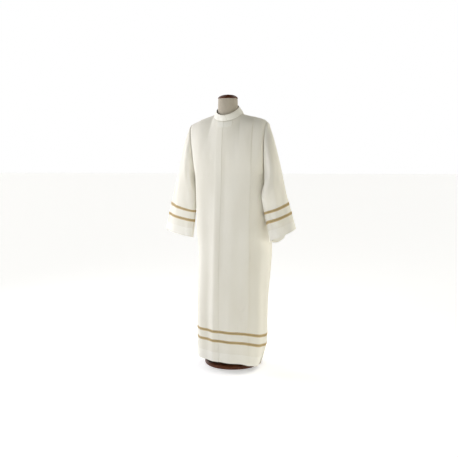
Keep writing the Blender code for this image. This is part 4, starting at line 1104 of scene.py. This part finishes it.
# Folds of a sleeve: metres above the cuff along it, and the share of the way round, which is 0 at
# the outer fold, 0.25 in front, 0.5 under the arm and 0.75 behind
SLEEVE_FOLDS = {
    "left": (
        # from the sleeve head down the front, and the hollow outside it
        ((0.36, 0.25, 0.05, 0.0), (0.47, 0.215, 0.046, 0.0055), (0.575, 0.17, 0.04, 0.006),
         (0.66, 0.12, 0.04, 0.0)),
        ((0.4, 0.16, 0.032, 0.0), (0.5, 0.135, 0.03, -0.0038), (0.62, 0.085, 0.03, 0.0)),
        # along the front down to the cuff
        ((0.0, 0.3, 0.04, 0.003), (0.12, 0.285, 0.038, 0.005), (0.26, 0.26, 0.036, 0.0045),
         (0.38, 0.24, 0.034, 0.0)),
        ((0.0, 0.19, 0.034, -0.0035), (0.14, 0.18, 0.034, -0.0045), (0.3, 0.17, 0.034, 0.0)),
        ((0.0, 0.385, 0.034, -0.0035), (0.12, 0.37, 0.034, -0.0045), (0.26, 0.35, 0.034, 0.0)),
        # the drag lines under the arm
        ((0.3, 0.4, 0.03, 0.0), (0.42, 0.385, 0.028, 0.003), (0.53, 0.36, 0.024, 0.0)),
        ((0.34, 0.33, 0.026, 0.0), (0.44, 0.32, 0.024, -0.003), (0.54, 0.3, 0.022, 0.0)),
        # the outer fold and the back
        ((0.0, 0.03, 0.04, 0.003), (0.25, 0.02, 0.04, 0.003), (0.5, 0.015, 0.04, 0.0)),
        ((0.0, 0.68, 0.05, 0.0055), (0.2, 0.69, 0.05, 0.0055), (0.45, 0.7, 0.05, 0.0)),
        ((0.0, 0.79, 0.04, -0.0045), (0.22, 0.8, 0.04, -0.004), (0.48, 0.81, 0.04, 0.0)),
        ((0.0, 0.89, 0.034, 0.003), (0.3, 0.88, 0.034, 0.003), (0.55, 0.88, 0.034, 0.0)),
    ),
    "right": (
        ((0.35, 0.3, 0.05, 0.0), (0.46, 0.26, 0.044, 0.004), (0.58, 0.2, 0.038, 0.005),
         (0.66, 0.14, 0.038, 0.0)),
        ((0.36, 0.2, 0.034, 0.0), (0.48, 0.165, 0.032, -0.0032), (0.62, 0.1, 0.03, 0.0)),
        ((0.0, 0.24, 0.04, 0.0032), (0.14, 0.23, 0.04, 0.004), (0.32, 0.215, 0.038, 0.0)),
        ((0.0, 0.15, 0.034, -0.003), (0.16, 0.145, 0.034, -0.0034), (0.34, 0.135, 0.034, 0.0)),
        ((0.0, 0.35, 0.036, -0.003), (0.14, 0.345, 0.036, -0.0034), (0.3, 0.33, 0.034, 0.0)),
        ((0.26, 0.42, 0.034, 0.0), (0.4, 0.4, 0.03, 0.003), (0.54, 0.36, 0.026, 0.0)),
        ((0.3, 0.34, 0.028, 0.0), (0.42, 0.325, 0.026, -0.0026), (0.54, 0.3, 0.024, 0.0)),
        ((0.0, 0.7, 0.05, 0.0045), (0.22, 0.7, 0.05, 0.0045), (0.45, 0.7, 0.05, 0.0)),
        ((0.0, 0.8, 0.04, -0.004), (0.24, 0.8, 0.04, -0.0036), (0.48, 0.81, 0.04, 0.0)),
    ),
}

# How far the far side of a cuff hangs lower than its front: share of the way round, metres
CUFF_DROP = {
    "left": ((0.0, 0.0), (0.42, 0.0), (0.50, 0.012), (0.60, 0.025), (0.70, 0.040), (0.76, 0.036),
             (0.82, 0.008), (0.88, 0.0), (1.0, 0.0)),
    "right": ((0.0, 0.0), (0.45, 0.0), (0.62, 0.006), (0.75, 0.007), (0.92, 0.0), (1.0, 0.0)),
}
CUFF_DROP_REACH = 0.24
CUFF_LEVELS = {side: (0.064, sum(CUFF_BRAIDS[side]) / 2) for side in CUFF_BRAIDS}


def armhole_ring(side):
    """The armhole at the sleeve's turns: down the front, under the arm and up the back."""
    front = TURNS <= math.pi
    turn = np.where(front, math.pi - TURNS, TURNS - math.pi)
    rise = np.arcsin(np.clip((1 - np.cos(turn)) / 2, 0, 1)) / (math.pi / 2)
    ring = np.where(
        front[:, None], armhole_edge(side, "front", rise), armhole_edge(side, "back", rise)
    )
    way = WAY[side]
    return ring + np.array([way * (CLOTH / 2 + SEAM_GAP), 0.0, 0.0])


def sleeve_ring(side, row):
    way = WAY[side]
    ring = dict(zip(SLEEVE_COLUMNS, row))
    outer = np.array([way * ring["outer_x"], ring["outer_y"], ring["outer_z"]])
    inner = np.array([way * ring["inner_x"], ring["inner_y"], ring["inner_z"]])
    turn = math.radians(ring["turn"])
    front = np.array([way * math.sin(turn), -math.cos(turn), 0.0])
    centre, reach = (outer + inner) / 2, (outer - inner) / 2
    deep = np.sin(TURNS)[:, None] * front * ring["thick"] / 2
    return centre + np.cos(TURNS)[:, None] * reach + deep


def keep_off_body(side, points):
    """Moves a sleeve's points outwards where they would come closer than the clearance."""
    way = WAY[side]
    flat = points.reshape(-1, 3)
    low = flat[:, 2] < UNDERARM_Z - 0.004
    ring = read_columns(BODY_RINGS, RING_COLUMNS, "z", np.minimum(flat[:, 2], UNDERARM_Z))
    reach = np.zeros(len(flat))
    for face in ("front", "back"):
        deep = (flat[:, 1] - ring["side_y"]) / (ring[face + "_y"] - ring["side_y"])
        power = ring["square_" + face]
        inside = np.clip(deep, 0, 1)
        found = ring["half_" + side] * (1 - inside**power) ** (1 / power)
        reach = np.where(deep >= 0, np.where(deep < 1, found, -1.0), reach)
    least = np.where(low, reach + SLEEVE_CLEARANCE, -1.0)
    flat = flat.copy()
    flat[:, 0] = way * np.maximum(way * flat[:, 0], least)
    return flat.reshape(points.shape)


def sleeve_base(side):
    """The sleeve's base surface, its rows from the armhole down to the cuff."""
    rings = [armhole_ring(side)] + [sleeve_ring(side, row) for row in SLEEVE_RINGS[side]]
    rings[1:] = [keep_off_body(side, ring) for ring in rings[1:]]
    table = np.array(rings)
    steps = np.linalg.norm(np.diff(table, axis=0), axis=2).mean(axis=1)
    keys = np.concatenate([[0.0], np.cumsum(steps)])
    total = keys[-1]
    from_top = [0.0, 0.0008, 0.0018, 0.003, 0.0045, 0.0065, 0.009, 0.0125]
    at_cuff = total - np.array([0.008, 0.004, 0.002, 0.001, 0.0004, 0.0])
    at_stitch = total - CUFF_DEPTH + np.arange(-0.005, 0.0051, 0.0012)
    main = np.arange(0.017, total - 0.011, 0.0048)
    at = np.unique(np.round(np.concatenate([from_top, main, at_cuff, at_stitch]), 5))
    flat = table.reshape(len(table), -1)
    grid = curve_values(keys, flat, curve_tangents(keys, flat), at)
    return keep_off_body(side, grid.reshape(len(at), -1, 3)), (total - at)[:, None]


def loop_facing(grid):
    run = np.roll(grid, -1, axis=1) - np.roll(grid, 1, axis=1)
    out = unit(np.cross(run, np.gradient(grid, axis=0)))
    centre = grid.mean(axis=1, keepdims=True)
    return out * np.sign(((grid - centre) * out).sum(axis=2).mean(axis=1))[:, None, None]


class Sleeve:
    """One sleeve's middle surface with its folds, rows from the armhole down to the cuff."""

    def __init__(self, side):
        base, self.up = sleeve_base(side)
        out = loop_facing(base)
        out[0] = unit(out[0] * (0.0, 1.0, 1.0))
        share = (TURNS / (2 * math.pi))[None, :]
        up, below = self.up, self.up[0] - self.up
        rise = np.zeros((len(up), len(TURNS)))
        for turned_by in (-1, 0, 1):
            rise += fold_field(SLEEVE_FOLDS[side], up, share + turned_by)
        seed = 31 if side == "left" else 32
        random = np.random.default_rng(seed)
        for _ in range(10):
            waves, phase = random.integers(3, 11), random.uniform(0, 6.28)
            lean, tall = random.uniform(-9, 9), random.uniform(0.09, 0.30)
            rise += 0.00042 * np.sin(waves * 2 * math.pi * share + lean * up + phase) * np.sin(
                2 * math.pi * up / tall + random.uniform(0, 6.28))
        for level in CUFF_LEVELS[side]:
            for _ in range(9):
                at, wide = random.uniform(0, 1), random.uniform(0.008, 0.016)
                place, tall = level + random.uniform(-0.004, 0.004), random.uniform(0.014, 0.030)
                away = (share - at + 0.5) % 1.0 - 0.5
                gather = random.uniform(0.0005, 0.0013) * hill(away / wide)
                rise += gather * hill((up - place) / tall)
        # the head is eased into the armhole: a small roll, with the seam's dip above it
        top = 0.5 + 0.5 * np.cos(2 * math.pi * share)
        rise *= smooth(below / 0.035)
        rise += (0.0030 * top + 0.0004) * np.exp(-((below - 0.014) / 0.010) ** 2)
        rise -= 0.0012 * hill(below / 0.0035)
        eased = np.sin(2 * math.pi * share * 34 + 1.3 * np.sin(2 * math.pi * share * 5))
        rise += 0.00035 * top * eased * np.exp(-((below - 0.009) / 0.007) ** 2)
        rise -= 0.0009 * hill((share - 0.5) / 0.006) * smooth(below / 0.02)
        rise -= STITCH_DIP * hill((up - CUFF_DEPTH) / STITCH_REACH)
        drop = read_columns(CUFF_DROP[side], ("share", "drop"), "share", share[0])["drop"]
        fall = drop[None, :] * (1 - smooth(up / CUFF_DROP_REACH))
        middle = base + rise[..., None] * out
        down = unit(np.gradient(base, axis=0))
        middle = keep_off_body(side, middle + fall[..., None] * down)
        middle[0] = base[0]
        self.side, self.middle = side, middle
        self.facing = loop_facing(middle)
        self.facing[0] = out[0]
        self.around = round_lengths(middle[-40])

    def cloth(self):
        up = np.broadcast_to(self.up, self.middle.shape[:2])
        grids = shell_of(self.middle, self.facing, up, depth=CUFF_DEPTH)
        part = (*grids, self.around, self.up + (HEM_DEPTH - CUFF_DEPTH))
        made = join_grids(f"sleeve_{self.side}_cloth", [part], CLOTH_LOOK, loop=True)
        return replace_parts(made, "sleeve_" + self.side)

    def braid(self, level):
        """One braid round the cuff, on the sleeve's outer face."""
        middle_up = CUFF_BRAIDS[self.side][("lower", "upper").index(level)]
        count = 2 * SLEEVE_COLUMNS_ROUND
        at = np.arange(count) / 2
        low = at.astype(int)
        part = (at - low)[None, :, None]
        tilt = CUFF_BRAID_TILT[self.side] * np.cos(at * 2 * math.pi / SLEEVE_COLUMNS_ROUND)

        def column_mix(array):
            return array[:, low] * (1 - part) + array[:, (low + 1) % SLEEVE_COLUMNS_ROUND] * part

        middle, facing = column_mix(self.middle), unit(column_mix(self.facing))
        keys = self.up[::-1, 0]
        wanted = middle_up + tilt[None, :] + BRAID_ROWS[:, None] * BRAID_WIDTH / 2
        place = np.interp(wanted, keys, np.arange(len(keys))[::-1])
        row = np.minimum(place.astype(int), len(keys) - 2)
        share = (place - row)[..., None]
        columns = np.arange(count)[None, :]

        def row_mix(array):
            return array[row, columns] * (1 - share) + array[row + 1, columns] * share

        base, away = row_mix(middle), unit(row_mix(facing))
        part = braid_part(base + SHEET_HALF * away, away, loop=True)
        name = f"cuff_braid_{level}_{self.side}"
        made = join_grids(name, [part], BRAID_LOOK, 0, loop=True)
        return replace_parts(made, f"braid_cuff_{level}_{self.side}")


# The collar and the tab
def neckline(shares):
    """The panels' top edge at an array of shares of the way round, from the middle of the front
    past the wearer's left side (0.25) and the back (0.5)."""
    quarter = (shares % 1.0 * 4).astype(int)
    part = shares % 1.0 * 4 - quarter
    top = np.array([GRID_HEIGHTS[-1]])
    found = np.zeros((len(shares), 3))
    for index in range(4):
        side = "left" if index < 2 else "right"
        surface = FRONT if index in (0, 3) else BACK
        here = quarter == index
        if not here.any():
            continue
        rows = surface.rows(top)
        away = part[here] if index in (0, 2) else 1 - part[here]
        neck = NECK_STEP * (rows["to_pleat"][side][0, 0] - PLEAT_DEPTH)
        way = WAY[side]
        points, _, out = surface.sample(rows, (way * away * neck)[None, :])
        found[here] = points[0] + 2 * LAYER_PITCH * out[0]
    return found


def collar_top(low):
    """The collar's top edge above points of the neckline."""
    turn = np.arctan2(low[:, 0], NECK_SIDE[1] - low[:, 1])
    half_y = (COLLAR_TOP_BACK[0] - COLLAR_TOP_FRONT[0]) / 2
    y = (COLLAR_TOP_BACK[0] + COLLAR_TOP_FRONT[0]) / 2 - half_y * np.cos(turn)
    slope = (COLLAR_TOP_BACK[1] - COLLAR_TOP_FRONT[1]) / (2 * half_y)
    z = COLLAR_TOP_FRONT[1] + slope * (y - COLLAR_TOP_FRONT[0])
    z = z + COLLAR_SIDE_LIFT * np.sin(turn) ** 2
    return np.stack([COLLAR_TOP_HALF_WIDTH * np.sin(turn), y, z], axis=1)


def make_collar():
    """The standing collar. Its right end laps over its left end."""
    lap = COLLAR_OVERLAP / COLLAR_ROUND
    step_out = COLLAR_THICKNESS + SEAM_GAP
    levels = np.concatenate([[0, 0.006, 0.02, 0.045], np.linspace(0.08, 0.80, 16),
                             [0.83, 0.85, 0.87, 0.885, 0.90, 0.92, 0.95, 0.975, 0.99, 0.997, 1.0]])
    near_end = np.array([0.0, 0.0006, 0.0015, 0.003])
    parts = np.concatenate([near_end, np.linspace(0.006, 0.994, 210), 1 - near_end[::-1]])
    middle, facing = [], []
    for level in levels:
        end = 1 + (COLLAR_OVERLAP - level * COLLAR_SLANT) / COLLAR_ROUND
        shares = parts * end
        low = neckline(shares)
        high = collar_top(low)
        along_seam = neckline(shares + 0.01) - neckline(shares - 0.01)
        out = unit(np.cross(along_seam, high - low))
        lapped = smooth((shares - 1 + 0.8 * lap) / (0.6 * lap))[:, None]
        here = low + (high - low) * level + out * (SEAM_GAP + step_out * lapped)
        here = here + unit(high - low) * (SHEET_HALF + 0.0002) * (1 - level)
        wave = 0.0005 * np.sin(2 * math.pi * shares * 7 + 2.0 * level) * math.sin(math.pi * level)
        bow = 0.0004 * level * np.sin(2 * math.pi * shares * 3) + 0.0008 * math.sin(math.pi * level)
        here = here + out * (wave + bow)[:, None] * (1 - lapped)
        middle.append(here)
        facing.append(out)
    middle, facing = np.array(middle), np.array(facing)
    height = np.linalg.norm(middle[-1] - middle[0], axis=1)[None, :] * levels[:, None]
    tall = height[-1:]
    length = metres_along(middle)
    to_end = np.minimum(length, length[-1] - length)[None, :]
    to_rim = np.minimum(tall - height, to_end)
    half = 0.00085 * rounded(to_rim, 0.0011) * rounded(height, 0.0008, 0.4)
    outside = half - 0.00028 * hill((to_rim - 0.0050) / 0.0009)
    outer = middle + outside[..., None] * facing
    inner = middle - half[..., None] * facing
    # v counts down from the rim, so that the row of stitches falls beside it
    v = HEM_DEPTH + 0.0050 - (tall - height)
    made = join_grids("collar_cloth", [(outer, inner, length, v)], CLOTH_LOOK)
    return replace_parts(made, "collar")


def make_tab():
    """The small tab sewn over the top of the front opening, just below the collar."""
    drops = TAB_BELOW_SEAM + TAB_HEIGHT * np.concatenate(
        [[1.0, 0.99, 0.97, 0.94], np.linspace(0.90, 0.10, 16), [0.06, 0.03, 0.01, 0.0]])
    heights = np.interp(FRONT.up[-1] - drops, FRONT.up, GRID_HEIGHTS)
    rows = FRONT.rows(heights)
    ends = np.array([0.0, 0.0003, 0.0008, 0.002])
    inner_columns = np.linspace(0.004, TAB_SPAN[1] - TAB_SPAN[0] - 0.004, 58)
    place = np.concatenate([ends, inner_columns, TAB_SPAN[1] - TAB_SPAN[0] - ends[::-1]])
    across = np.broadcast_to(TAB_SPAN[0] + place, (len(drops), len(place)))
    points, _, out = FRONT.sample(rows, across)
    step = FLAP_STEP * (1 - smooth((across - 0.001) / 0.004))
    step = step + by_height(FLAP_LIFT, rows["up"]) * (1 - smooth(across / FLAP_FADE))
    rise = 2 * LAYER_PITCH + step + SHEET_HALF + 0.0002 + face_rise(FRONT, rows, across)
    to_end = np.minimum(place, place[-1] - place)[None, :]
    to_side = (drops - TAB_BELOW_SEAM)[:, None]
    edge = np.minimum(np.minimum(to_end, to_side), TAB_HEIGHT - to_side)
    full = rounded(edge, 0.0007)
    dent = 0.00022 * hill((edge - 0.0030) / 0.0008)
    inner = points + (rise + 0.0001)[..., None] * out
    outer = points + (rise + 0.0001 + 0.0010 * full - dent)[..., None] * out
    v = HEM_DEPTH + 0.0030 - edge
    made = join_grids("closure_tab_cloth", [(outer, inner, place, v)], CLOTH_LOOK)
    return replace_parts(made, "closure_tab")


# The dress form
def form_rings():
    """The form's body, fine rings through its table's rows."""
    table = np.array(FORM_RINGS, float)
    keys = np.arange(len(table), dtype=float)
    first = [0.0, 0.12, 0.28, 0.5, 0.75]
    at = np.concatenate([first, np.arange(1.0, len(table) - 1 + 1e-6, 0.125)])
    fine = curve_values(keys, table, curve_tangents(keys, table), at)
    turn = np.arange(FORM_SIDES) * 2 * math.pi / FORM_SIDES
    ring = {name: fine[:, index][:, None] for index, name in enumerate(FORM_COLUMNS)}
    x, y = np.sin(turn)[None, :], -np.cos(turn)[None, :]
    across = ring["half"] * np.sign(x) * np.abs(x) ** (2 / ring["square"])
    deep = np.abs(y) ** (2 / ring["square"])
    forward = np.broadcast_to(y < 0, deep.shape)
    reach = np.where(forward, ring["front_y"], ring["back_y"])
    height = np.where(forward, ring["z_front"], ring["z_back"])
    place_y = ring["side_y"] + (reach - ring["side_y"]) * deep
    place_z = ring["z_side"] + (height - ring["z_side"]) * deep
    return np.stack([across, place_y, place_z], axis=2)


def under_surface():
    """The lowest layer of the cloth on the shoulders, to measure the form's clearance from."""
    points, faces = [], []
    for surface in (FRONT, BACK):
        grid = surface.points[len(GRID_HEIGHTS) - 68 :]
        rows, columns = grid.shape[:2]
        first = len(points)
        points += [tuple(point) for point in grid.reshape(-1, 3)]
        for row in range(rows - 1):
            for column in range(columns - 1):
                low = first + row * columns + column
                faces.append((low, low + 1, low + 1 + columns, low + columns))
    return BVHTree.FromPolygons(points, faces)


def closed_stack(name, rings, finish, u, v, sharp=60):
    """A closed solid from loops of points, its ends closed with fans."""
    rows, columns = rings.shape[:2]
    points = np.concatenate([rings.reshape(-1, 3), [rings[0].mean(axis=0), rings[-1].mean(axis=0)]])
    low, high = rows * columns, rows * columns + 1
    faces, places = [], []
    for r in range(rows - 1):
        for c in range(columns):
            d = (c + 1) % columns
            here, above = r * columns, (r + 1) * columns
            faces.append((here + c, here + d, above + d, above + c))
            places += [(u[c], v[r]), (u[c + 1], v[r]), (u[c + 1], v[r + 1]), (u[c], v[r + 1])]
    for c in range(columns):
        d = (c + 1) % columns
        faces.append((d, c, low))
        faces.append(((rows - 1) * columns + c, (rows - 1) * columns + d, high))
        for row in (0, -1):
            a, b = rings[row, c] - rings[row].mean(axis=0), rings[row, d] - rings[row].mean(axis=0)
            order = (b, a) if row == 0 else (a, b)
            places += [(p[0], p[1]) for p in order] + [(0.0, 0.0)]
    mesh = bpy.data.meshes.new(name)
    mesh.from_pydata([tuple(p) for p in points], [], faces)
    return finish_piece(mesh, places, finish, sharp)


def make_trunk():
    rings = form_rings()
    surface = under_surface()
    below = CLOTH / 2 + REST_GAP + 0.0016
    for point in rings.reshape(-1, 3):
        hit = surface.ray_cast((point[0], point[1], 2.0), (0.0, 0.0, -1.0))[0]
        if hit is not None and point[2] > hit[2] - below:
            point[2] = hit[2] - below
    u, v = round_lengths(rings[len(rings) // 3]), lengths(rings[:, 0])
    made = closed_stack("form_trunk", rings, LINEN_LOOK, u, v)
    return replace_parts(made, "form_body")


def round_profile(profile, per_step):
    """A profile with its corners eased."""
    points = np.array(profile, float)
    fine = []
    for index in range(len(points) - 1):
        fine += [points[index] + (points[index + 1] - points[index]) * k / per_step
                 for k in range(per_step)]
    fine = np.array(fine + [points[-1]])
    for _ in range(2):
        eased = fine.copy()
        eased[1:-1] = 0.25 * fine[:-2] + 0.5 * fine[1:-1] + 0.25 * fine[2:]
        fine = eased
    return fine


def make_turned(name, profile, centre, finish, node):
    fine = round_profile(profile, 6)
    turn = np.arange(WOOD_SIDES) * 2 * math.pi / WOOD_SIDES
    loops = [np.stack([r * np.sin(turn), -r * np.cos(turn), np.full(WOOD_SIDES, z)], axis=1)
             for r, z in fine]
    u, v = np.linspace(0, 1, WOOD_SIDES + 1), np.linspace(0, 1, len(fine))
    made = closed_stack(name, np.array(loops) + np.array(centre), finish, u, v, 40)
    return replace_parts(made, node)


# Build
fronts = {side: make_front(side) for side in ("right", "left")}
back = make_back()
hem_braids = [hem_braid(level) for level in HEM_BRAIDS]
sleeves, cuff_braids = {}, {}
for side in ("left", "right"):
    sleeve = Sleeve(side)
    sleeves[side] = sleeve.cloth()
    cuff_braids[side] = [sleeve.braid(level) for level in ("lower", "upper")]
collar, tab = make_collar(), make_tab()
trunk = make_trunk()
neck = dict(zip(FORM_COLUMNS, FORM_RINGS[-1]))
cap_centre = (0.0, neck["side_y"], neck["z_side"])
make_turned("neck_cap", CAP_PROFILE, cap_centre, WOOD_LOOK, "form_neck_cap")
make_turned("round_base", BASE_PROFILE, (0, 0, 0), WOOD_LOOK, "form_base")
pole = bpy.data.objects["form_pole"]
pole.data.materials.clear()
pole.data.materials.append(STEEL_LOOK)

# Room, light and camera
scene = bpy.context.scene
floor_mesh = bpy.data.meshes.new("floor")
floor_mesh.from_pydata([(-40, -40, 0), (40, -40, 0), (40, 40, 0), (-40, 40, 0)], [], [(0, 1, 2, 3)])
floor_mesh.materials.append(
    new_material("plain_floor", (0.92, 0.92, 0.92), 0.9, Emission_Color=(1, 1, 1, 1),
                 Emission_Strength=0.42)
)
floor = bpy.data.objects.new("floor", floor_mesh)
scene.collection.objects.link(floor)

world = bpy.data.worlds.new("studio")
scene.world = world
world.use_nodes = True
tree = world.node_tree
tree.nodes.clear()
output = tree.nodes.new("ShaderNodeOutputWorld")
seen, ambient = (tree.nodes.new("ShaderNodeBackground") for _ in range(2))
for background, strength in ((seen, 1.0), (ambient, 0.0)):
    background.inputs["Color"].default_value = (1, 1, 1, 1)
    background.inputs["Strength"].default_value = strength
chooser = tree.nodes.new("ShaderNodeMixShader")
path = tree.nodes.new("ShaderNodeLightPath")
tree.links.new(path.outputs["Is Camera Ray"], chooser.inputs[0])
tree.links.new(ambient.outputs[0], chooser.inputs[1])
tree.links.new(seen.outputs[0], chooser.inputs[2])
tree.links.new(chooser.outputs[0], output.inputs[0])


def sun(name, azimuth, elevation, strength, width, colour=(1, 1, 1)):
    """A soft sun from an azimuth (0 is straight in front, more is to the viewer's right)."""
    lamp = bpy.data.lights.new(name, "SUN")
    lamp.energy, lamp.angle, lamp.color = strength, math.radians(width), colour
    made = bpy.data.objects.new(name, lamp)
    turn, rise = math.radians(azimuth), math.radians(elevation)
    toward = (math.sin(turn) * math.cos(rise), -math.cos(turn) * math.cos(rise), math.sin(rise))
    made.rotation_euler = Vector(toward).to_track_quat("Z", "Y").to_euler()
    made.location = [4 * part for part in toward]
    scene.collection.objects.link(made)


def panel_light(name, azimuth, distance, height, watts, size, colour=(1, 1, 1), aim=0.75):
    """A square studio panel turned towards a height on the robe's middle line."""
    lamp = bpy.data.lights.new(name, "AREA")
    lamp.energy, lamp.size, lamp.shape, lamp.color = watts, size, "SQUARE", colour
    made = bpy.data.objects.new(name, lamp)
    turn = math.radians(azimuth)
    place = Vector((math.sin(turn) * distance, -math.cos(turn) * distance, height))
    made.location = place
    made.rotation_euler = (place - Vector((0, 0, aim))).to_track_quat("Z", "Y").to_euler()
    made.visible_camera = False
    scene.collection.objects.link(made)


sun("key", -105, 15, 0.70, 40, (0.993, 0.988, 1.0))
sun("key_far", -120, 38, 0.80, 40, (0.99, 0.987, 1.0))
sun("front_fill", 50, 14, 0.62, 40, (1.0, 0.98, 0.84))
sun("back_fill", 142, 42, 1.55, 40, (1.0, 0.985, 0.92))
panel_light("key_panel", -80, 2.2, 1.7, 22.0, 0.8, (0.985, 0.965, 1.0))
panel_light("front_panel", -35, 2.4, 1.5, 15.0, 0.8, (0.90, 0.93, 1.0))
panel_light("low_panel", 90, 1.8, 0.5, 3.0, 0.8, (1.0, 0.96, 0.80))
scene.view_settings.view_transform = "Standard"

AZIMUTH, PITCH, DISTANCE, EYE = math.radians(24), math.radians(6.163), 4.05, 1.25
ROLL = math.radians(-0.5)
PICTURE_PIXELS, FOCAL_PIXELS, SHIFT_PIXELS = 458, 680.8, -3.2
SENSOR = 36.0  # millimetres
lens = bpy.data.cameras.new("camera")
lens.sensor_width, lens.lens = SENSOR, SENSOR * FOCAL_PIXELS / PICTURE_PIXELS
lens.shift_x = SHIFT_PIXELS / PICTURE_PIXELS
camera = bpy.data.objects.new("camera", lens)
scene.collection.objects.link(camera)
camera.location = (math.sin(AZIMUTH) * DISTANCE, -math.cos(AZIMUTH) * DISTANCE, EYE)
camera.rotation_euler = (math.pi / 2 - PITCH, 0.0, AZIMUTH)
camera.rotation_euler.rotate_axis("Z", ROLL)
scene.camera = camera
